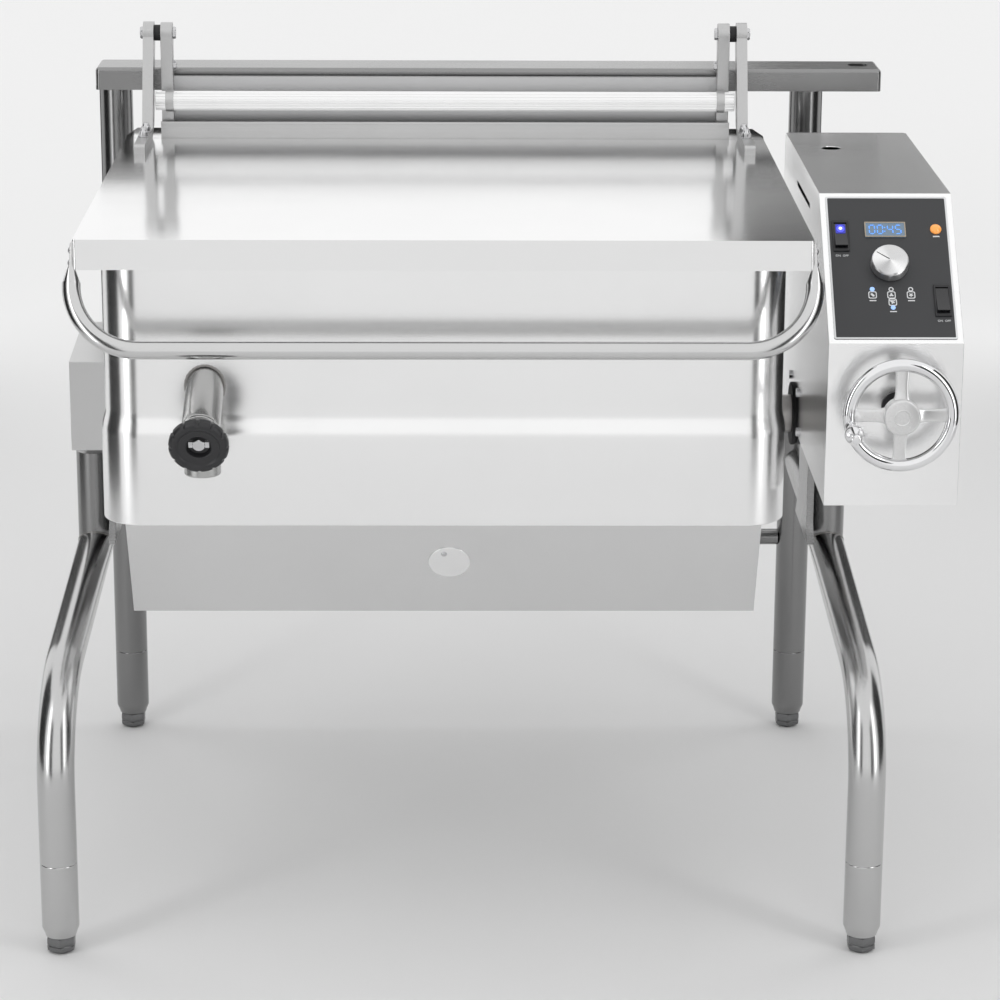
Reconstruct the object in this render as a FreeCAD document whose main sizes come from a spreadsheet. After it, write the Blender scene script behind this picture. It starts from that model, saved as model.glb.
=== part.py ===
import FreeCAD, Part
import math
import os
import Sketcher

# A tilting skillet on a tubular stand: a jacketed pan with a hinged lid turns on two trunnions,
# driven by a handwheel, worm and gear sector inside the control console on its right.
# X runs to the right, Y to the back and Z up, from the floor. While the pieces are drawn, X is
# counted from the middle of the pan and Y from the trunnion axis; every piece is then moved by
# the same amount, which puts the origin on the floor under the middle of the whole machine.

V = FreeCAD.Vector
doc = FreeCAD.newDocument("tilting_skillet")

SIZES = {
    # Stand
    "tube_diameter": 50.8,
    "tube_wall": 2.6,
    "left_post": 507.0,
    "right_post": 556.0,
    "rear_post_reach": 456.0,
    "post_top": 590.0,
    "mitre_height": 452.0,
    "leg_reach": 438.0,
    "leg_splay": 16.0,
    "leg_slope": 12.0,
    "leg_bend": 150.0,
    "socket_top": 131.0,
    "socket_bottom": 24.0,
    "socket_taper": 12.0,
    "stud_diameter": 16.0,
    "foot_width": 37.0,
    "rail_diameter": 38.1,
    "rail_height": 452.0,
    "cross_diameter": 25.4,
    "cross_height": 320.0,
    "plate_thickness": 10.0,
    "plate_head": 60.0,
    "plate_half": 78.0,
    "beam_left": 534.0,
    "beam_right": 667.0,
    "beam_front": 418.0,
    "beam_depth": 86.0,
    "beam_bottom": 1044.0,
    "beam_height": 34.0,
    "beam_wall": 2.5,
    "cap_length": 76.0,
    "cap_thickness": 6.0,
    "faucet_hole": 30.0,
    "faucet_setback": 44.0,
    "faucet_inset": 32.0,
    # Trunnions and tilting gear
    "trunnion_height": 645.0,
    "trunnion_diameter": 54.0,
    "trunnion_bore": 34.0,
    "trunnion_flange": 96.0,
    "flange_thickness": 8.0,
    "bearing_diameter": 90.0,
    "bearing_flange": 104.0,
    "bearing_length": 38.0,
    "running_fit": 0.05,
    "seal_diameter": 91.0,
    "seal_thickness": 6.0,
    "gear_module": 4.0,
    "gear_teeth": 50.0,
    "gear_width": 20.0,
    "worm_length": 84.0,
    "backlash": 1.0,
    "shaft_diameter": 16.0,
    "bushing_diameter": 26.0,
    # Pan
    "jacket_width": 903.0,
    "jacket_front": 398.0,
    "jacket_rear": 366.0,
    "jacket_corner": 52.0,
    "jacket_step": 5.0,
    "jacket_bottom": 595.0,
    "crease_low": 722.0,
    "crease_high": 742.0,
    "jacket_sheet": 2.0,
    "well_width": 872.0,
    "well_front": 384.0,
    "well_rear": 350.0,
    "well_corner": 42.0,
    "well_cove": 18.0,
    "well_floor": 752.0,
    "floor_thickness": 12.0,
    "well_sheet": 3.0,
    "rim_width": 944.0,
    "rim_front": 415.0,
    "rim_rear": 372.0,
    "rim_lip": 15.0,
    "seat_gap": 0.3,
    # Heater box under the pan
    "box_width": 850.0,
    "box_front": 386.0,
    "box_rear": 336.0,
    "box_front_foot": 303.0,
    "box_rear_foot": 300.0,
    "box_bottom": 444.0,
    "box_sheet": 1.5,
    "access_diameter": 56.0,
    "access_hole": 32.0,
    "access_offset": 7.0,
    "access_drop": 74.0,
    "access_pivot_across": 7.0,
    "access_pivot_rise": 16.0,
    "element_diameter": 12.0,
    "element_inset": 106.0,
    "element_pitch": 180.0,
    "element_setback": 7.0,
    # Lid
    "lid_width": 960.0,
    "lid_front": 423.0,
    "lid_rear": 366.0,
    "lid_top": 987.0,
    "lid_skirt": 40.0,
    "lid_sheet": 2.0,
    "lip_start": 318.0,
    "lip_rise": 8.0,
    "lip_corner": 14.0,
    "handle_diameter": 24.0,
    "handle_drop": 134.0,
    "handle_lean": 29.0,
    "handle_bend": 88.0,
    "ear_thickness": 5.0,
    "ear_setback": 23.0,
    "ear_drop": 19.0,
    # Lid hinge: the hinge and the torsion tube are measured up from the lid's top, the panel's top
    # down from the hinge
    "hinge_reach": 388.0,
    "hinge_height": 149.0,
    "pin_diameter": 12.0,
    "arm_inner": 440.0,
    "arm_thickness": 16.0,
    "arm_toe": 187.0,
    "arm_foot_height": 14.0,
    "arm_eye": 17.0,
    "arm_stud": 8.0,
    "arm_stud_setback": 68.0,
    "arm_stud_pitch": 44.0,
    "bracket_inner": 412.0,
    "bracket_thickness": 18.0,
    "bracket_back": 396.0,
    "panel_width": 862.0,
    "panel_top": 68.0,
    "panel_foot": 925.0,
    "panel_sheet": 2.0,
    "panel_flange": 12.0,
    "torsion_diameter": 29.0,
    "torsion_reach": 357.0,
    "torsion_height": 51.0,
    # Console
    "console_left": 505.0,
    "console_right": 683.0,
    "console_nose": 402.0,
    "console_brow": 230.0,
    "console_break": 846.0,
    "console_top": 1012.0,
    "console_bottom": 624.0,
    "console_rear": 237.0,
    "console_sheet": 2.0,
    "overlay_width": 163.0,
    "overlay_margin": 6.0,
    "overlay_film": 0.8,
    "service_hole": 28.0,
    "contactor_rise": 22.0,
    "contactor_height": 76.0,
    # Left trunnion cover
    "cover_left": 528.0,
    "cover_half": 94.0,
    "cover_bottom": 614.0,
    "cover_top": 743.0,
    "cover_rise": 14.0,
    "cover_sheet": 2.0,
    # Handwheel, measured across from the console's inner wall
    "wheel_across": 92.0,
    "wheel_height": 761.0,
    "wheel_reach": 450.0,
    "wheel_diameter": 152.0,
    "wheel_rim": 17.0,
    "wheel_hub": 48.0,
    "spoke_width": 17.0,
    "spoke_thickness": 8.0,
    "grip_diameter": 24.0,
    "grip_length": 62.0,
    "spindle_diameter": 8.0,
    # Draw-off valve
    "valve_across": 314.0,
    "valve_height": 786.0,
    "valve_slope": 20.0,
    "valve_diameter": 50.0,
    "valve_bore": 40.0,
    "stem_diameter": 14.0,
    "stem_clearance": 1.0,
    "spout_diameter": 48.0,
    "spout_bottom": 686.0,
    "spout_reach": 73.0,
    "knob_diameter": 78.0,
    "knob_reach": 124.0,
    "knob_depth": 20.0,
}


class Size:
    """A length as a number, kept together with the sheet expression that gives it."""

    def __init__(self, text, number):
        self.text = text
        self.number = float(number)

    @staticmethod
    def of(value):
        return value if isinstance(value, Size) else Size(repr(float(value)), value)

    def __add__(self, other):
        other = Size.of(other)
        return Size(f"({self.text} + {other.text})", self.number + other.number)

    def __radd__(self, other):
        return Size.of(other) + self

    def __sub__(self, other):
        other = Size.of(other)
        return Size(f"({self.text} - {other.text})", self.number - other.number)

    def __rsub__(self, other):
        return Size.of(other) - self

    def __mul__(self, factor):
        factor = Size.of(factor)
        return Size(f"({self.text} * {factor.text})", self.number * factor.number)

    __rmul__ = __mul__

    def __truediv__(self, factor):
        factor = Size.of(factor)
        return Size(f"({self.text} / {factor.text})", self.number / factor.number)

    def __neg__(self):
        return Size(f"(0 - {self.text})", -self.number)

    def __float__(self):
        return self.number


class Sheet:
    """The driving dimensions, each read as an attribute."""

    def __init__(self, sizes):
        self.cells = doc.addObject("Spreadsheet::Sheet", "Sizes")
        for row, (name, number) in enumerate(sizes.items(), start=1):
            self.cells.set(f"A{row}", name)
            self.cells.set(f"B{row}", str(number))
            self.cells.setAlias(f"B{row}", name)
            setattr(self, name, Size(f"Sizes.{name}", number))
        doc.recompute()


S = Sheet(SIZES)
NODES = []

WHEEL_X = S.console_left + S.wheel_across
HINGE_Z = S.lid_top + S.hinge_height
TORSION_Z = S.lid_top + S.torsion_height


# Helpers for drawing

def bind(obj, prop, value):
    obj.setExpression(prop, Size.of(value).text)


def point(x, y, z):
    return V(float(x), float(y), float(z))


def block(name, x, y, z):
    """A box between two X values, two Y values and two Z values."""
    obj = doc.addObject("Part::Box", name)
    for prop, axis, (low, high) in (("Length", "x", x), ("Width", "y", y), ("Height", "z", z)):
        bind(obj, prop, Size.of(high) - low)
        bind(obj, f"Placement.Base.{axis}", low)
    obj.recompute()
    return obj


TURNS = {
    "x": FreeCAD.Rotation(V(0, 1, 0), 90),
    "y": FreeCAD.Rotation(V(1, 0, 0), -90),
    "z": FreeCAD.Rotation(),
}


def rod(name, axis, start, length, diameter, top_diameter=None):
    """A round bar, or a taper, that runs from its start point along one axis."""
    kind = "Part::Cylinder" if top_diameter is None else "Part::Cone"
    obj = doc.addObject(kind, name)
    if top_diameter is None:
        bind(obj, "Radius", Size.of(diameter) / 2)
    else:
        bind(obj, "Radius1", Size.of(diameter) / 2)
        bind(obj, "Radius2", Size.of(top_diameter) / 2)
    bind(obj, "Height", length)
    obj.Placement.Rotation = TURNS[axis]
    for letter, value in zip("xyz", start):
        bind(obj, f"Placement.Base.{letter}", value)
    obj.recompute()
    return obj


def cut(name, base, *tools):
    """The base with every tool taken out of it."""
    for number, tool in enumerate(tools):
        obj = doc.addObject("Part::Cut", f"{name}_{number}")
        obj.Base = base
        obj.Tool = tool
        obj.recompute()
        base = obj
    return base


def fuse(name, *parts):
    obj = doc.addObject("Part::MultiFuse", name)
    obj.Shapes = list(parts)
    obj.recompute()
    return obj


def group(name, *parts):
    obj = doc.addObject("Part::Compound", name)
    obj.Links = list(parts)
    obj.recompute()
    return obj


def feature(name, shape):
    obj = doc.addObject("Part::Feature", name)
    obj.Shape = shape
    return obj


def rounded(name, base, radius, test):
    """The base with a fillet on each edge that the test picks."""
    obj = doc.addObject("Part::Fillet", name)
    obj.Base = base
    radius = float(radius)
    edges = base.Shape.Edges
    obj.Edges = [(i, radius, radius) for i, edge in enumerate(edges, start=1) if test(edge)]
    obj.recompute()
    return obj


def along(axis):
    """A test for straight edges that run along one axis."""
    def test(edge):
        if edge.Curve.TypeId != "Part::GeomLine":
            return False
        return abs(abs(edge.Curve.Direction.dot(axis)) - 1) < 1e-6
    return test


UP, ACROSS, BACK = V(0, 0, 1), V(1, 0, 0), V(0, 1, 0)


def rounded_block(name, x, y, z, radius):
    """A box whose four upright edges are rounded."""
    return rounded(name + "_round", block(name, x, y, z), radius, along(UP))


def outline(body, name, role, points, start):
    """A closed sketch on one of the body's planes, every corner held by the sheet's sizes."""
    sketch = body.newObject("Sketcher::SketchObject", name)
    plane = [item for item in body.Origin.OriginFeatures if item.Role == role][0]
    sketch.AttachmentSupport = [(plane, "")]
    sketch.MapMode = "FlatFace"
    bind(sketch, "AttachmentOffset.Base.z", start)
    corners = [(Size.of(a), Size.of(b)) for a, b in points]
    count = len(corners)
    for i in range(count):
        (a, b), (c, d) = corners[i], corners[(i + 1) % count]
        sketch.addGeometry(Part.LineSegment(V(a.number, b.number, 0), V(c.number, d.number, 0)))
    for i in range(count):
        sketch.addConstraint(Sketcher.Constraint("Coincident", i, 2, (i + 1) % count, 1))
    for i, corner in enumerate(corners):
        for kind, value in zip(("DistanceX", "DistanceY"), corner):
            held = sketch.addConstraint(Sketcher.Constraint(kind, -1, 1, i, 1, value.number))
            sketch.setExpression(f"Constraints[{held}]", value.text)
    return sketch


def prism(name, axis, span, points):
    """A straight-sided profile carried along X, Y or Z between two values.

    The points are (Y, Z) for axis x, (X, Z) for axis y and (X, Y) for axis z.
    """
    body = doc.addObject("PartDesign::Body", name)
    role = {"x": "YZ_Plane", "y": "XZ_Plane", "z": "XY_Plane"}[axis]
    low, high = Size.of(span[0]), Size.of(span[1])
    start = -high if axis == "y" else low
    sketch = outline(body, name + "_outline", role, points, start)
    pad = body.newObject("PartDesign::Pad", name + "_pad")
    pad.Profile = sketch
    bind(pad, "Length", high - low)
    doc.recompute()
    return body


def lathe(name, points):
    """A turned piece about the Z axis, from (radius, height) points."""
    body = doc.addObject("PartDesign::Body", name)
    sketch = outline(body, name + "_outline", "XZ_Plane", points, 0)
    turn = body.newObject("PartDesign::Revolution", name + "_turn")
    turn.Profile = sketch
    turn.ReferenceAxis = (sketch, ["V_Axis"])
    turn.Angle = 360
    doc.recompute()
    return body


def set_at(obj, base, rotation=None):
    """Puts a drawn piece at a point, turned if a rotation is given."""
    obj.Placement = FreeCAD.Placement(point(*base), rotation or FreeCAD.Rotation())
    for letter, value in zip("xyz", base):
        bind(obj, f"Placement.Base.{letter}", value)
    obj.recompute()
    return obj


def mirrored(name, base):
    """The base's twin on the other side of the pan's middle plane."""
    obj = doc.addObject("Part::Mirroring", name)
    obj.Source = base
    obj.Normal = ACROSS
    obj.recompute()
    return obj


def pair(name, base):
    return group(name, base, mirrored(name + "_twin", base))


def bent_path(points, bend):
    """A wire of straight runs joined by tangent arcs of one radius."""
    bend = float(bend)
    start = points[0]
    edges = []
    for i in range(1, len(points) - 1):
        corner = points[i]
        into = (corner - points[i - 1]).normalize()
        out = (points[i + 1] - corner).normalize()
        turn = into.getAngle(out)
        setback = bend * math.tan(turn / 2)
        first, last = corner - into * setback, corner + out * setback
        inward = (out - into).normalize()
        middle = corner + inward * (bend / math.cos(turn / 2) - bend)
        if (first - start).Length > 1e-6:
            edges.append(Part.LineSegment(start, first).toShape())
        edges.append(Part.Arc(first, middle, last).toShape())
        start = last
    edges.append(Part.LineSegment(start, points[-1]).toShape())
    return Part.Wire(edges)


def swept_tube(points, bend, outside, inside=None):
    """A round tube, or a bar, along a bent path."""
    path = bent_path(points, bend)
    direction = points[1] - points[0]
    shape = path.makePipe(Part.Face(Part.Wire(Part.makeCircle(float(outside) / 2, points[0], direction))))
    if inside is not None:
        core = path.makePipe(Part.Face(Part.Wire(Part.makeCircle(float(inside) / 2, points[0], direction))))
        shape = shape.cut(core)
    return shape


def side_of(plane_point, normal, keep):
    """Half of space: the side of a plane on which the kept point lies."""
    return Part.Plane(plane_point, normal).toShape().makeHalfSpace(keep)


# The middle of the whole machine, seen from above, is the origin
reach_left = S.left_post + S.leg_splay + S.tube_diameter / 2
grip_front = S.wheel_reach + S.wheel_rim / 2 + S.grip_length + 7
valve_angle = math.radians(float(S.valve_slope))
VALVE_COS = Size("cos(Sizes.valve_slope * 1 deg)", math.cos(valve_angle))
VALVE_SIN = Size("sin(Sizes.valve_slope * 1 deg)", math.sin(valve_angle))
knob_front = S.jacket_front + (S.knob_reach + S.knob_depth) * VALVE_COS + (S.knob_diameter / 2 - 3) * VALVE_SIN
HOME_X = (reach_left - S.console_right) / 2
HOME_Y = (knob_front - (S.beam_front + S.beam_depth)) / 2


def node(label, obj, turned=None):
    """Names a finished piece and moves it from the drawing's origin to the machine's."""
    base = obj.Placement.Base
    if turned is None:
        turned = (0, 0, 0)
        if base.Length > 1e-9 or obj.TypeId in ("Part::Box", "Part::Cylinder", "Part::Cone"):
            obj.Label = label + "_form"
            obj = group(label + "_set", obj)
    obj.Label = label
    for letter, value, shift in zip("xyz", turned, (HOME_X, HOME_Y, Size.of(0))):
        bind(obj, f"Placement.Base.{letter}", shift + value)
    obj.recompute()
    NODES.append(obj)
    return obj


# Stand: bent front legs, posts, rails, sockets and feet

def stand():
    inside = S.tube_diameter - 2 * S.tube_wall
    run_slope = math.radians(float(S.leg_slope))
    for side, post, splay in (("left", -S.left_post, -S.leg_splay), ("right", S.right_post, S.leg_splay)):
        mitre = point(post, 0, S.mitre_height)
        foot_x, foot_y = post + splay, -S.leg_reach
        elbow = point(foot_x, foot_y, float(S.mitre_height) - float(S.leg_reach) * math.tan(run_slope))
        run = (elbow - mitre).normalize()
        normal = (V(0, 0, -1) + run).normalize()
        back = mitre - run * float(S.tube_diameter)
        leg = swept_tube([back, elbow, point(foot_x, foot_y, S.socket_top)], S.leg_bend,
                         S.tube_diameter, inside)
        leg = leg.common(side_of(mitre, normal, elbow))
        node(f"front_leg_{side}", feature(f"front_leg_{side}", leg))
    posts = []
    for post in (-S.left_post, S.right_post):
        mitre = point(post, 0, S.mitre_height)
        splay = math.copysign(float(S.leg_splay), float(post))
        elbow = mitre + V(splay, -float(S.leg_reach), -float(S.leg_reach) * math.tan(run_slope))
        normal = (V(0, 0, -1) + (elbow - mitre).normalize()).normalize()
        low, high = point(post, 0, S.mitre_height - S.tube_diameter), point(post, 0, S.post_top)
        height = high.z - low.z
        upright = Part.makeCylinder(float(S.tube_diameter) / 2, height, low)
        upright = upright.cut(Part.makeCylinder(float(inside) / 2, height, low))
        posts.append(upright.common(side_of(mitre, normal, high)))
    uprights, sockets = [feature("front_uprights", Part.makeCompound(posts))], []
    places = {
        "front_left": (-(S.left_post + S.leg_splay), -S.leg_reach),
        "front_right": (S.right_post + S.leg_splay, -S.leg_reach),
        "rear_left": (-S.left_post, S.rear_post_reach),
        "rear_right": (S.right_post, S.rear_post_reach),
    }
    for corner, (x, y) in places.items():
        if corner.startswith("rear"):
            length = S.beam_bottom - S.socket_top
            outer = rod("rear_post", "z", (x, y, S.socket_top), length, S.tube_diameter)
            hollow = rod("rear_post_bore", "z", (x, y, S.socket_top), length, inside)
            uprights.append(cut("rear_upright", outer, hollow))
        shoulder = S.socket_bottom + S.socket_taper
        barrel = rod("socket_barrel", "z", (x, y, shoulder), S.socket_top - shoulder, S.tube_diameter)
        nose = rod("socket_nose", "z", (x, y, S.socket_bottom), S.socket_taper, S.tube_diameter - 9,
                   S.tube_diameter)
        thread = rod("socket_thread", "z", (x, y, S.socket_bottom), 60, S.stud_diameter + 2 * S.running_fit)
        sockets.append(cut("socket", fuse("socket_form", barrel, nose), thread))
        node(f"foot_{corner}", foot(corner, x, y))
    node("posts", group("posts", *uprights))
    node("leg_sockets", group("leg_sockets", *sockets))

    rails = []
    half = S.tube_diameter / 2
    for x in (-S.left_post, S.right_post):
        rail = rod("side_rail", "y", (x, 0, S.rail_height), S.rear_post_reach, S.rail_diameter)
        ends = [rod("rail_end", "z", (x, y, 0), 900, S.tube_diameter) for y in (0, S.rear_post_reach)]
        rails.append(cut("side_rail_cut", rail, *ends))
    span = S.left_post + S.right_post
    cross = rod("cross_bar", "x", (-S.left_post, S.rear_post_reach, S.cross_height), span, S.cross_diameter)
    ends = [rod("cross_end", "z", (x, S.rear_post_reach, 0), 900, S.tube_diameter)
            for x in (-S.left_post, S.right_post)]
    node("frame_rails", group("frame_rails", *rails, cut("cross_bar_cut", cross, *ends)))

    plates = []
    for side, post, sign in (("left", -S.left_post, -1), ("right", S.right_post, 1)):
        inner = post - sign * half
        span = (inner, inner + S.plate_thickness) if sign < 0 else (inner - S.plate_thickness, inner)
        head, neck, foot_z = S.trunnion_height + S.plate_head, S.cover_bottom + 4, S.mitre_height + 18
        profile = [(-S.plate_half, foot_z), (-60, foot_z + 30)]
        wide = S.cover_half - S.cover_sheet if sign < 0 else S.plate_half
        profile += [(-60, neck), (-wide, neck), (-wide, head), (wide, head), (wide, neck), (60, neck)]
        profile += [(60, foot_z + 40), (95, foot_z)]
        plate = prism(f"plate_{side}", "x", span, profile)
        bore = rod("plate_bore", "x", (span[0] - 5, 0, S.trunnion_height), 30, S.bearing_diameter)
        plates.append(cut(f"trunnion_plate_{side}", plate, bore))
    node("trunnion_plates", group("trunnion_plates", *plates))


def foot(name, x, y):
    """A levelling foot: a hexagon with a domed sole on a stud that screws into its socket."""
    flats = S.foot_width / 2
    corner = S.foot_width / math.sqrt(3)
    hexagon = prism(f"foot_hex_{name}", "z", (4, S.socket_bottom), [
        (corner, 0.001), (corner / 2, flats), (-corner / 2, flats),
        (-corner, 0.001), (-corner / 2, -flats), (corner / 2, -flats)])
    set_at(hexagon, (x, y, 0))
    sole = rod(f"foot_sole_{name}", "z", (x, y, 0), 4, S.foot_width - 9, S.foot_width - 1)
    stud = rod(f"foot_stud_{name}", "z", (x, y, S.socket_bottom), 50, S.stud_diameter)
    return fuse(f"foot_{name}", hexagon, sole, stud)


# Rear beam across the posts, with the hole for a faucet

def rear_beam():
    x, y = (-S.beam_left, S.beam_right), (S.beam_front, S.beam_front + S.beam_depth)
    z = (S.beam_bottom, S.beam_bottom + S.beam_height)
    skin = rounded("beam_skin", block("beam", x, y, z), 6,
                   lambda edge: edge.CenterOfMass.z > float(z[0]) + 1)
    wall = S.beam_wall
    hollow = block("beam_hollow", (x[0] + wall, x[1] - wall), (y[0] + wall, y[1] - wall),
                   (z[0] - 1, z[1] - wall))
    hole = rod("faucet_hole", "z", (S.beam_right - S.faucet_inset, S.beam_front + S.faucet_setback, z[0]),
               S.beam_height + 2, S.faucet_hole)
    caps = []
    reach = S.cap_length / 2
    for span in ((x[0], reach - S.left_post), (S.right_post - reach, S.right_post + reach)):
        caps.append(block("beam_cap", span, (y[0] + wall, y[1] - wall), (z[0], z[0] + S.cap_thickness)))
    node("rear_beam", fuse("rear_beam", cut("beam_channel", skin, hollow, hole), *caps))


# Trunnion shafts, bearings and the seal on the console's wall

def trunnions():
    z = S.trunnion_height
    wall = S.jacket_width / 2 + S.jacket_step
    ends = {"left": S.cover_left - 8, "right": WHEEL_X + S.gear_width / 2 + 6}
    for side, end in ends.items():
        flange = rod(f"trunnion_flange_{side}", "x", (wall, 0, z), S.flange_thickness, S.trunnion_flange)
        shaft = rod(f"trunnion_bar_{side}", "x", (wall, 0, z), end - wall, S.trunnion_diameter)
        bore = rod(f"trunnion_hollow_{side}", "x", (wall - 1, 0, z), end - wall + 2, S.trunnion_bore)
        bolts = []
        for angle in (45, 135, 225, 315):
            reach = float(S.trunnion_diameter + S.trunnion_flange) / 4
            spot = (wall + S.flange_thickness, reach * math.cos(math.radians(angle)),
                    z + reach * math.sin(math.radians(angle)))
            bolts.append(rod("flange_bolt", "x", spot, 3, 10))
        shape = cut(f"trunnion_{side}", fuse(f"trunnion_form_{side}", flange, shaft, *bolts), bore)
        if side == "left":
            shape = mirrored("trunnion_left_side", shape)
        node(f"trunnion_shaft_{side}", shape)

    bore = S.trunnion_diameter + 2 * S.running_fit
    right_face = S.right_post - S.tube_diameter / 2
    left_face = S.left_post - S.tube_diameter / 2
    housings = []
    for name, start, face in (("right", S.console_left + S.console_sheet, right_face),
                              ("left", left_face - S.plate_thickness, left_face)):
        barrel = rod(f"bearing_barrel_{name}", "x", (start, 0, z), S.bearing_length, S.bearing_diameter)
        collar = rod(f"bearing_collar_{name}", "x", (face, 0, z), 8, S.bearing_flange)
        hole = rod(f"bearing_hole_{name}", "x", (start - 1, 0, z), S.bearing_length + 12, bore)
        housing = cut(f"bearing_{name}", fuse(f"bearing_form_{name}", barrel, collar), hole)
        housings.append(mirrored("bearing_left_side", housing) if name == "left" else housing)
    node("bearing_housings", group("bearing_housings", *housings))

    seal = rod("seal_disc", "x", (S.console_left - S.seal_thickness, 0, z), S.seal_thickness, S.seal_diameter)
    seal = rounded("seal_edge", seal, 1.5, lambda edge: edge.CenterOfMass.x < float(S.console_left) - 1
                   and edge.Curve.TypeId == "Part::GeomCircle")
    hole = rod("seal_hole", "x", (S.console_left - 10, 0, z), 12, S.trunnion_diameter + 2 * S.seat_gap)
    node("trunnion_seal", cut("trunnion_seal", seal, hole))


# Worm gear: a toothed sector on the right trunnion, turned by the worm on the handwheel's shaft

def gear_sector():
    module, teeth = float(S.gear_module), int(float(S.gear_teeth))
    pitch = module * teeth / 2
    tip, root = pitch + module, pitch - 1.175 * module
    axial_pitch = math.pi * module
    half = axial_pitch / 4 - float(S.backlash) / 2
    flank = math.tan(math.radians(20))
    worm_radius = float(S.wheel_height - S.trunnion_height) - pitch
    lead = module / (2 * worm_radius)
    hub = float(S.trunnion_diameter) / 2 + 12
    step = 360.0 / teeth
    first, last = -2, 15

    def spot(radius, degrees, twist):
        angle = math.radians(degrees) + twist
        return V(0, radius * math.cos(angle), radius * math.sin(angle))

    def profile(x, twist):
        corners = []
        for tooth in range(first, last):
            middle = 90 - step * (last - 1 - tooth) + step * 1.5
            for radius, side in ((root, -1), (tip, -1), (tip, 1), (root, 1)):
                width = half + (pitch - radius) * flank
                corners.append(spot(radius, middle + side * math.degrees(width / radius), twist))
        low = 90 - step * (last - 1 - first) + step
        high = 90 + step * 2
        corners.append(spot(root, high, twist))
        corners.append(spot(hub, high + 20, twist))
        corners.append(spot(hub, low - 20, twist))
        corners.append(spot(root, low, twist))
        wire = Part.makePolygon(corners + corners[:1])
        wire.translate(V(x, 0, 0))
        return wire

    width = float(S.gear_width)
    centre = float(WHEEL_X)
    turn = lead * width / 2 / pitch
    sector = Part.makeLoft([profile(centre - width / 2, -turn), profile(centre + width / 2, turn)], True, True)
    start = V(centre - width / 2 - 6, 0, 0)
    hub_ring = Part.makeCylinder(hub, width + 12, start, ACROSS)
    shape = sector.fuse(hub_ring)
    shape = shape.cut(Part.makeCylinder(float(S.trunnion_diameter) / 2, width + 14, start - V(1, 0, 0), ACROSS))
    # Lightening holes, halfway between the hub and the teeth
    web, eye_radius = (hub + root) / 2, (root - hub) / 4
    for middle in (20, 50, 80):
        eye = spot(web, middle, 0) + V(centre - width, 0, 0)
        shape = shape.cut(Part.makeCylinder(eye_radius, 2 * width, eye, ACROSS))
    shape.translate(V(0, 0, float(S.trunnion_height)))
    node("gear_sector", feature("gear_sector", shape))


def worm_shaft():
    module = float(S.gear_module)
    pitch = module * float(S.gear_teeth) / 2
    worm_radius = float(S.wheel_height - S.trunnion_height) - pitch
    axial_pitch = math.pi * module
    half = axial_pitch / 4 - float(S.backlash) / 2
    flank = math.tan(math.radians(20))
    core, tip = worm_radius - 1.25 * module, worm_radius + module
    length = float(S.worm_length)
    turns = math.floor(length / axial_pitch) - 1
    thread_length = turns * axial_pitch
    helix = Part.makeHelix(axial_pitch, thread_length, worm_radius)
    low, high = core - 0.5, tip
    corners = []
    for radius, side in ((low, -1), (high, -1), (high, 1), (low, 1)):
        corners.append(V(radius, 0, side * (half + (worm_radius - radius) * flank)))
    thread = Part.Wire(helix).makePipeShell([Part.makePolygon(corners + corners[:1])], True, True)
    thread.translate(V(0, 0, -thread_length / 2))
    body = Part.makeCylinder(core, length, V(0, 0, -length / 2)).fuse(thread)
    # Turned so that the thread passes the gear's tooth space right under the shaft
    body.rotate(V(0, 0, 0), UP, 90 + 180 * (turns % 2))
    body.rotate(V(0, 0, 0), ACROSS, -90)
    front = float(S.wheel_reach) + 8
    back = 72.0
    bar = Part.makeCylinder(float(S.shaft_diameter) / 2, front + back, V(0, -front, 0), BACK)
    shape = body.fuse(bar)
    shape.translate(point(WHEEL_X, 0, S.wheel_height))
    node("worm_shaft", feature("worm_shaft", shape))


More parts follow.
